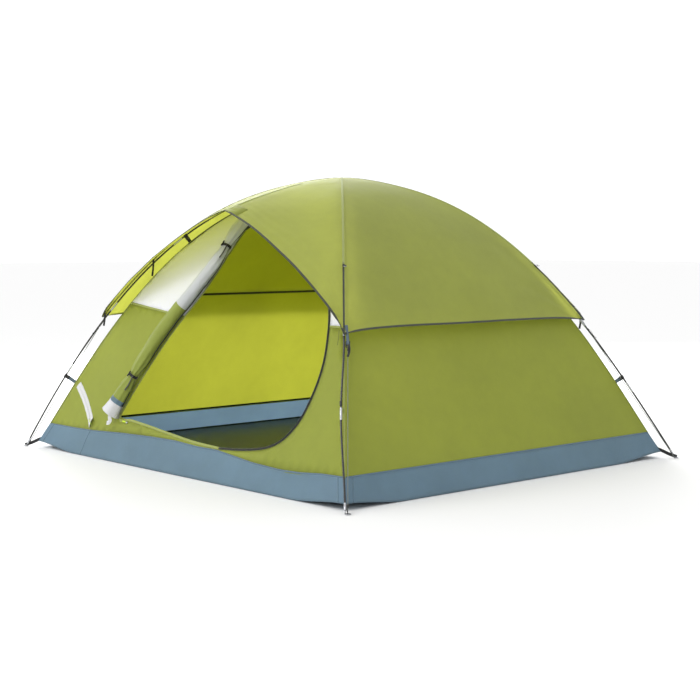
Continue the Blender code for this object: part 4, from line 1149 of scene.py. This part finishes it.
def add_poles():
    for name, (start, end, over) in POLE_ENDS.items():
        path = PolePath(CORNERS[start], over)
        legs = [*LEG_SECTIONS[start], *reversed(LEG_SECTIONS[end])]
        arch = (path.length - sum(legs)) / ARCH_SECTIONS
        ends = np.concatenate([[0], np.cumsum(legs[:2] + [arch] * ARCH_SECTIONS + legs[2:])])
        trim = FERRULE_LENGTH / 2 + FERRULE_GAP
        for k in range(1, SECTIONS + 1):
            low = TIP_LENGTH if k == 1 else ends[k - 1] + trim
            high = path.length - TIP_LENGTH if k == SECTIONS else ends[k] - trim
            marks = [(low, 0.0038), (low + 0.0005, POLE_RADIUS)]
            marks += [(s, POLE_RADIUS) for s in np.linspace(low + 0.002, high - 0.002, 24)]
            marks += [(high - 0.0005, POLE_RADIUS), (high, 0.0038)]
            turned(f"{name}_rod_{k:02d}", path, marks, 16, "rod", "pole_fibreglass",
                   replaces=[f"{name}_section_{k:02d}"])
            if k < SECTIONS:
                marks = [(ends[k] - d, r) for d, r in FERRULE] + [(ends[k] + d, r) for d, r in FERRULE[::-1]]
                turned(f"{name}_ferrule_{k:02d}", path, marks, 20, "steel", "pole_fibreglass")
        for label, s, step in (("start", 0, 1), ("end", path.length, -1)):
            marks = [(s + step * d, r) for d, r in TIP]
            turned(f"{name}_tip_{label}", path, marks[::step], 20, "steel", "steel_wire")


def add_brow_pole():
    ys = np.linspace(-BROW_ROD_REACH, BROW_ROD_REACH, 60)
    ups = unit([(0, -slope(brow_z, y), 1) for y in ys])
    path = np.array([[0, y, brow_z(y)] for y in ys]) - ups * BROW_ROD_DROP
    sizes = np.ones(60)
    sizes[[0, 1, -2, -1]] = [0.7, 0.95, 0.95, 0.7]
    sweep("brow_rod", path, disc(BROW_ROD_RADIUS, 16), "rod", "fly", "pole_fibreglass", ups, scale=sizes,
          replaces=["brow_pole"])


# ---- corner fittings ----
LOWER_CLIP_RHO = {"front_left": 1.441, "front_right": 1.417, "rear_right": 1.425, "rear_left": 1.417}
UPPER_CLIP_RHO = 0.800
CLIP_INNER, CLIP_OUTER, CLIP_LEG, CLIP_WIDTH = 0.0047, 0.0065, 0.0035, 0.020
CLIP_TAB, CLIP_TAB_HALF = 0.016, 0.0015
WIRE_RADIUS, RING_RADIUS, PIN_LENGTH = 0.0020, 0.011, 0.016
RING_RHO = POLE_A + 0.004
BUCKLE_WIDE, BUCKLE_TALL, BUCKLE_THICK = 0.020, 0.032, 0.004
CORD_RADIUS, CORD_SIDE, CORD_POINTS = 0.0015, 0.016, 16


class Corner:
    """Directions at a corner: out along the diagonal, and side, level and towards the X wall."""

    def __init__(self, name):
        self.name = name
        sx, sy = CORNERS[name]
        self.out = np.array([sx * DIAG_X, sy * DIAG_Y, 0])
        self.side = np.array([sx * DIAG_Y, -sy * DIAG_X, 0])
        self.over = 1 if name in ("front_right", "rear_left") else -1

    def place(self, rho, z, side=0.0):
        return self.out * rho + np.array([0, 0, z]) + self.side * side

    def reach(self, rho):
        return rho - rear_lean(rho) if self.name == "rear_right" else rho

    def on_pole(self, rho):
        return self.place(self.reach(rho), pole_z(rho, self.over))

    def on_fly(self, rho, above, side):
        return self.place(self.reach(rho), fly_z(rho) + above, side)

    def pole(self, rho):
        """The pole's centre, its upward direction and its outward normal."""
        bow = pole_bow(-rho) if self.name == "front_right" else 0.0
        up = unit(self.on_pole(rho - 0.001) - self.on_pole(rho + 0.001))
        normal = unit(np.cross(self.side, up))
        if normal @ self.out < 0:
            normal = -normal
        return self.on_pole(rho) - self.side * bow, up, normal

    def seam_reach(self, here, normal):
        """How far the cabin's seam lies from a point of the pole, going inwards."""
        reaches = np.arange(0.005, 0.20, 0.0005)
        return next(r for r in reaches if (here - normal * r)[2] < cabin_z((here - normal * r) @ self.out))


def add_clip(corner, level, rho):
    """A moulded hook on the pole, and the webbing tab that ties it to the cabin's seam."""
    here, up, normal = corner.pole(rho)
    reach = corner.seam_reach(here, normal)
    tab = min(CLIP_TAB, reach * 0.6) + CLIP_OUTER
    arc = [(math.cos(t), -math.sin(t)) for t in np.radians(np.linspace(0, 180, 19))]
    outline = [(CLIP_OUTER, CLIP_LEG)] + [(CLIP_OUTER * x, CLIP_OUTER * y) for x, y in arc[:-1]]
    outline += [(-0.0063, -CLIP_TAB_HALF), (-tab, -CLIP_TAB_HALF), (-tab, CLIP_TAB_HALF)]
    outline += [(-CLIP_OUTER, CLIP_TAB_HALF), (-CLIP_OUTER, CLIP_LEG), (-CLIP_INNER, CLIP_LEG)]
    outline += [(CLIP_INNER * x, CLIP_INNER * y) for x, y in arc[::-1]] + [(CLIP_INNER, CLIP_LEG)]
    body = f"clip_{corner.name}" if level == "lower" else "tent"
    axes = (normal, corner.side, up)
    rows = [(n, s, end) for end in (-CLIP_WIDTH / 2, CLIP_WIDTH / 2) for n, s in outline]
    faces = tube_faces(2, len(outline))
    if np.cross(normal, corner.side) @ up <= 0:
        faces = flipped(faces)
    hook = piece(f"clip_hook_{level}_{corner.name}", spots(here, axes, rows), faces, "plastic", body,
                 "black_plastic", replaces=[f"pole_clip_{level}_{corner.name}"], sharp=35)
    bevel = hook.modifiers.new("moulded edge", "BEVEL")
    bevel.width, bevel.segments, bevel.limit_method = 0.0005, 2, "ANGLE"
    loop = spots(here, axes[:2], [(0.006 - tab, 0.0026), (-tab - 0.002, 0.0022), (-(tab + reach) / 2, 0.0008),
                                  (0.001 - reach, 0)])
    webbing = "blue" if level == "lower" else "black"
    sweep(f"clip_webbing_{level}_{corner.name}", smooth_path(loop, 24), strap(0.018, 0.0018), webbing, body,
          "blue_webbing", corner.side)


def add_foot(corner):
    """The wire pin in the pole's end, its flat ring, and the webbing that ties the floor's corner to it."""
    end_rho = POLE_A * (1 - POLE_END_Z / POLE_H) ** (1 / POLE_P)
    end, up, _ = corner.pole(end_rho)
    knee = end - up * ((end[2] - WIRE_RADIUS) / up[2] - 0.004)
    points = [end + up * PIN_LENGTH, end, knee, corner.place(POLE_A, WIRE_RADIUS + 0.0012)]
    for turn in np.linspace(0, math.radians(325), 22):
        rho = RING_RHO + RING_RADIUS * math.sin(turn)
        points.append(corner.place(rho, WIRE_RADIUS, RING_RADIUS - RING_RADIUS * math.cos(turn)))
    sweep(f"foot_wire_{corner.name}", smooth_path(points, 130), disc(WIRE_RADIUS, 12), "wire",
          slot="steel_wire", ends=(0.6, 0.7), replaces=[f"foot_ring_{corner.name}"])
    tab = [corner.place(HALF_DIAGONAL - 0.030, TUB_CORNER_LIFT + 0.020, 0.002),
           corner.place(HALF_DIAGONAL + 0.004, TUB_CORNER_LIFT + 0.006, 0.002),
           corner.place(HALF_DIAGONAL + 0.040, 0.017, 0.007), corner.place(RING_RHO + 0.004, 0.0070, 0.010)]
    ribbon(f"corner_webbing_{corner.name}", tab, (0.105, 0.016), "black", corner.side, "tent",
           thick=0.0018)


def buckle_frame(corner):
    """The middle of a fly corner's buckle and its directions: down the leg, sideways, outwards."""
    here, up, normal = corner.pole(FLY_CORNER_RHO + 0.012)
    return here + corner.side * CORD_SIDE, -up, corner.side, normal


def add_buckle(corner):
    """A ladder-lock: two rails and four bars, from a plate with its slots left out, then rounded."""
    centre, *axes = buckle_frame(corner)
    down, side, out = axes
    us = np.array([-0.5, -0.40, -0.30, 0.30, 0.40, 0.5]) * BUCKLE_WIDE
    vs = np.array([-0.5, -0.40, -0.22, -0.08, 0.08, 0.22, 0.40, 0.5]) * BUCKLE_TALL
    points = spots(centre, axes, [(v, u, 0.0006 * math.cos(3.0 * v / BUCKLE_TALL)) for v in vs for u in us])
    slots = {(1, 2), (3, 2), (5, 2)}
    faces = [f for k, f in enumerate(grid_faces(len(vs), len(us))) if (k // 5, k % 5) not in slots]
    if np.cross(side, down) @ out < 0:
        faces = flipped(faces)
    plate = piece(f"buckle_frame_{corner.name}", points, faces, "plastic", "fly", "black_plastic",
                  replaces=[f"fly_buckle_{corner.name}"])
    thicken(plate, BUCKLE_THICK * 0.8).modifiers["cloth"].offset = 0
    rounding = plate.modifiers.new("rounding", "SUBSURF")
    rounding.levels = rounding.render_levels = 2
    hold = [corner.on_fly(FLY_CORNER_RHO - 0.030, 0.001, 0.010)]
    hold += [*spots(centre, axes, [(-BUCKLE_TALL / 2, 0, 0.0035), (-0.004, 0, 0.0030), (0.006, 0, -0.0025)])]
    ribbon(f"buckle_webbing_{corner.name}", hold, (0.090, 0.0125), "blue", out, thick=0.0018)
    tail = spots(centre, axes, [(0.003, 0.002, 0.0040), (0.022, 0.006, 0.0075), (0.046, 0.004, 0.0045),
                                (0.066, -0.001, 0.0075)])
    ribbon(f"buckle_tail_{corner.name}", tail, (0.066, 0.010), "black", out)


WHIPPING = [0.80, 1.0, 0.86, 1.0, 0.86, 1.0, 0.86, 1.0, 0.80]
WHIPPING_LENGTH = 0.012


def add_cord(corner):
    """The elastic cord from the buckle to the foot ring, with a whipping at each end and its hook."""
    centre, leg, _, _ = buckle_frame(corner)
    top = centre + leg * (BUCKLE_TALL / 2 + 0.0004)
    low = corner.place(RING_RHO - RING_RADIUS, 2 * WIRE_RADIUS + CORD_RADIUS + 0.0012, RING_RADIUS)
    curve = bpy.data.curves.new(f"elastic_cord_{corner.name}", "CURVE")
    curve.dimensions = "3D"
    curve.bevel_depth = CORD_RADIUS
    curve.bevel_resolution = 3
    curve.use_fill_caps = True
    spline = curve.splines.new("POLY")
    spline.points.add(CORD_POINTS - 1)
    for spot, t in zip(spline.points, np.linspace(0, 1, CORD_POINTS)):
        spot.co = (*(top + (low - top) * t), 1)
    curve.materials.append(MATS["elastic"])
    cord = add_object(f"elastic_cord_{corner.name}", curve)
    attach(cord, "fly")
    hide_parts(f"fly_cord_{corner.name}")
    down = unit(low - top)
    for label, start in (("top", top + down * 0.004), ("low", low - down * 0.030)):
        path = [start + down * s for s in np.linspace(0, WHIPPING_LENGTH, len(WHIPPING))]
        sweep(f"cord_whipping_{label}_{corner.name}", path, disc(0.0027, 12), "black", "fly", "black_elastic",
              scale=WHIPPING)
    hook = spots(low, (down, corner.out, (0, 0, 1)),
                 [(-0.020, 0, 0), (-0.006, 0, 0), (0, 0.004, -0.0010), (0, 0.0065, 0.0045)])
    sweep(f"cord_hook_{corner.name}", smooth_path(hook, 24), disc(0.0012, 10), "wire", "fly", "black_elastic")


GUY_LOOP = [(-0.006, 0.0012), (0.004, 0.0016), (0.012, 0.007), (0.015, 0.012), (0.010, 0.012),
            (0.004, 0.0048)]
GUY_RING_RADIUS = 0.0065


def add_guy_outs(ring):
    """On each ridge a folded webbing loop, a small ring in it, and two ties hanging inside the fly."""
    normals = grid_normals(ring, closed=True)
    for k, name in enumerate(RIDGES):
        corner = Corner(name)
        column, ups = ring[:, k * FLY_COLUMNS], normals[:, k * FLY_COLUMNS]
        spot = int(np.argmin(np.abs(fly_alongs() * FLY_CORNER_RHO - GUY_RHO[name])))
        here, up = column[spot], ups[spot]
        down = unit(column[spot - 1] - column[spot + 1])
        loop = smooth_path(spots(here, (down, up), GUY_LOOP), 40)
        sweep(f"guy_loop_{name}", loop, strap(0.012, 0.0014), "black", "fly", "blue_webbing",
              np.cross(np.gradient(loop, axis=0), corner.side))
        middle = here + down * 0.017 + up * 0.012
        circle = spots(middle, (corner.side, down * 0.6 + up * 0.8), disc(GUY_RING_RADIUS, 32))
        sweep(f"guy_ring_{name}", circle, disc(0.0011, 8), "wire", "fly", "steel_wire", closed=True)
        front = -1 if name.startswith("front") else 1
        for label, rho, shift, long in (("corner_tie", FLY_CORNER_RHO - 0.020, 0.020, 0.062),
                                        ("guy_tie", GUY_RHO[name], 0.034, 0.085)):
            top = corner.on_fly(rho, -0.007, -shift)
            drop = [top, top + (0.003 * front, 0, -0.5 * long), top + (-0.006, 0.004 * front, -long)]
            ribbon(f"{label}_{name}", drop, (long, 0.010), "black", corner.side)


def main():
    add_camera()
    MATS.update(make_materials())
    corners = [Corner(name) for name in CORNERS]
    for corner in corners:
        add_cord(corner)
    add_studio()
    grids = fly_grids()
    ring = add_fly(grids)
    add_fly_trim(grids, ring)
    add_tub_seams(add_tub())
    for add in (add_walls, add_canopy, add_cabin_bands, add_front_wall, add_door_zip, add_door_roll,
                add_door_ties, add_white_curl, add_vent):
        add()
    add_slider("door", (-0.470, 0.188), (0.000, 0.150), 0.0012)
    add_slider("vent", (-0.790, 0.1705), (-0.8925, 0.2451), 0.0040)
    add_poles()
    add_brow_pole()
    for corner in corners:
        add_clip(corner, "lower", LOWER_CLIP_RHO[corner.name])
        add_clip(corner, "upper", UPPER_CLIP_RHO)
        add_foot(corner)
        add_buckle(corner)
    add_guy_outs(ring)


main()
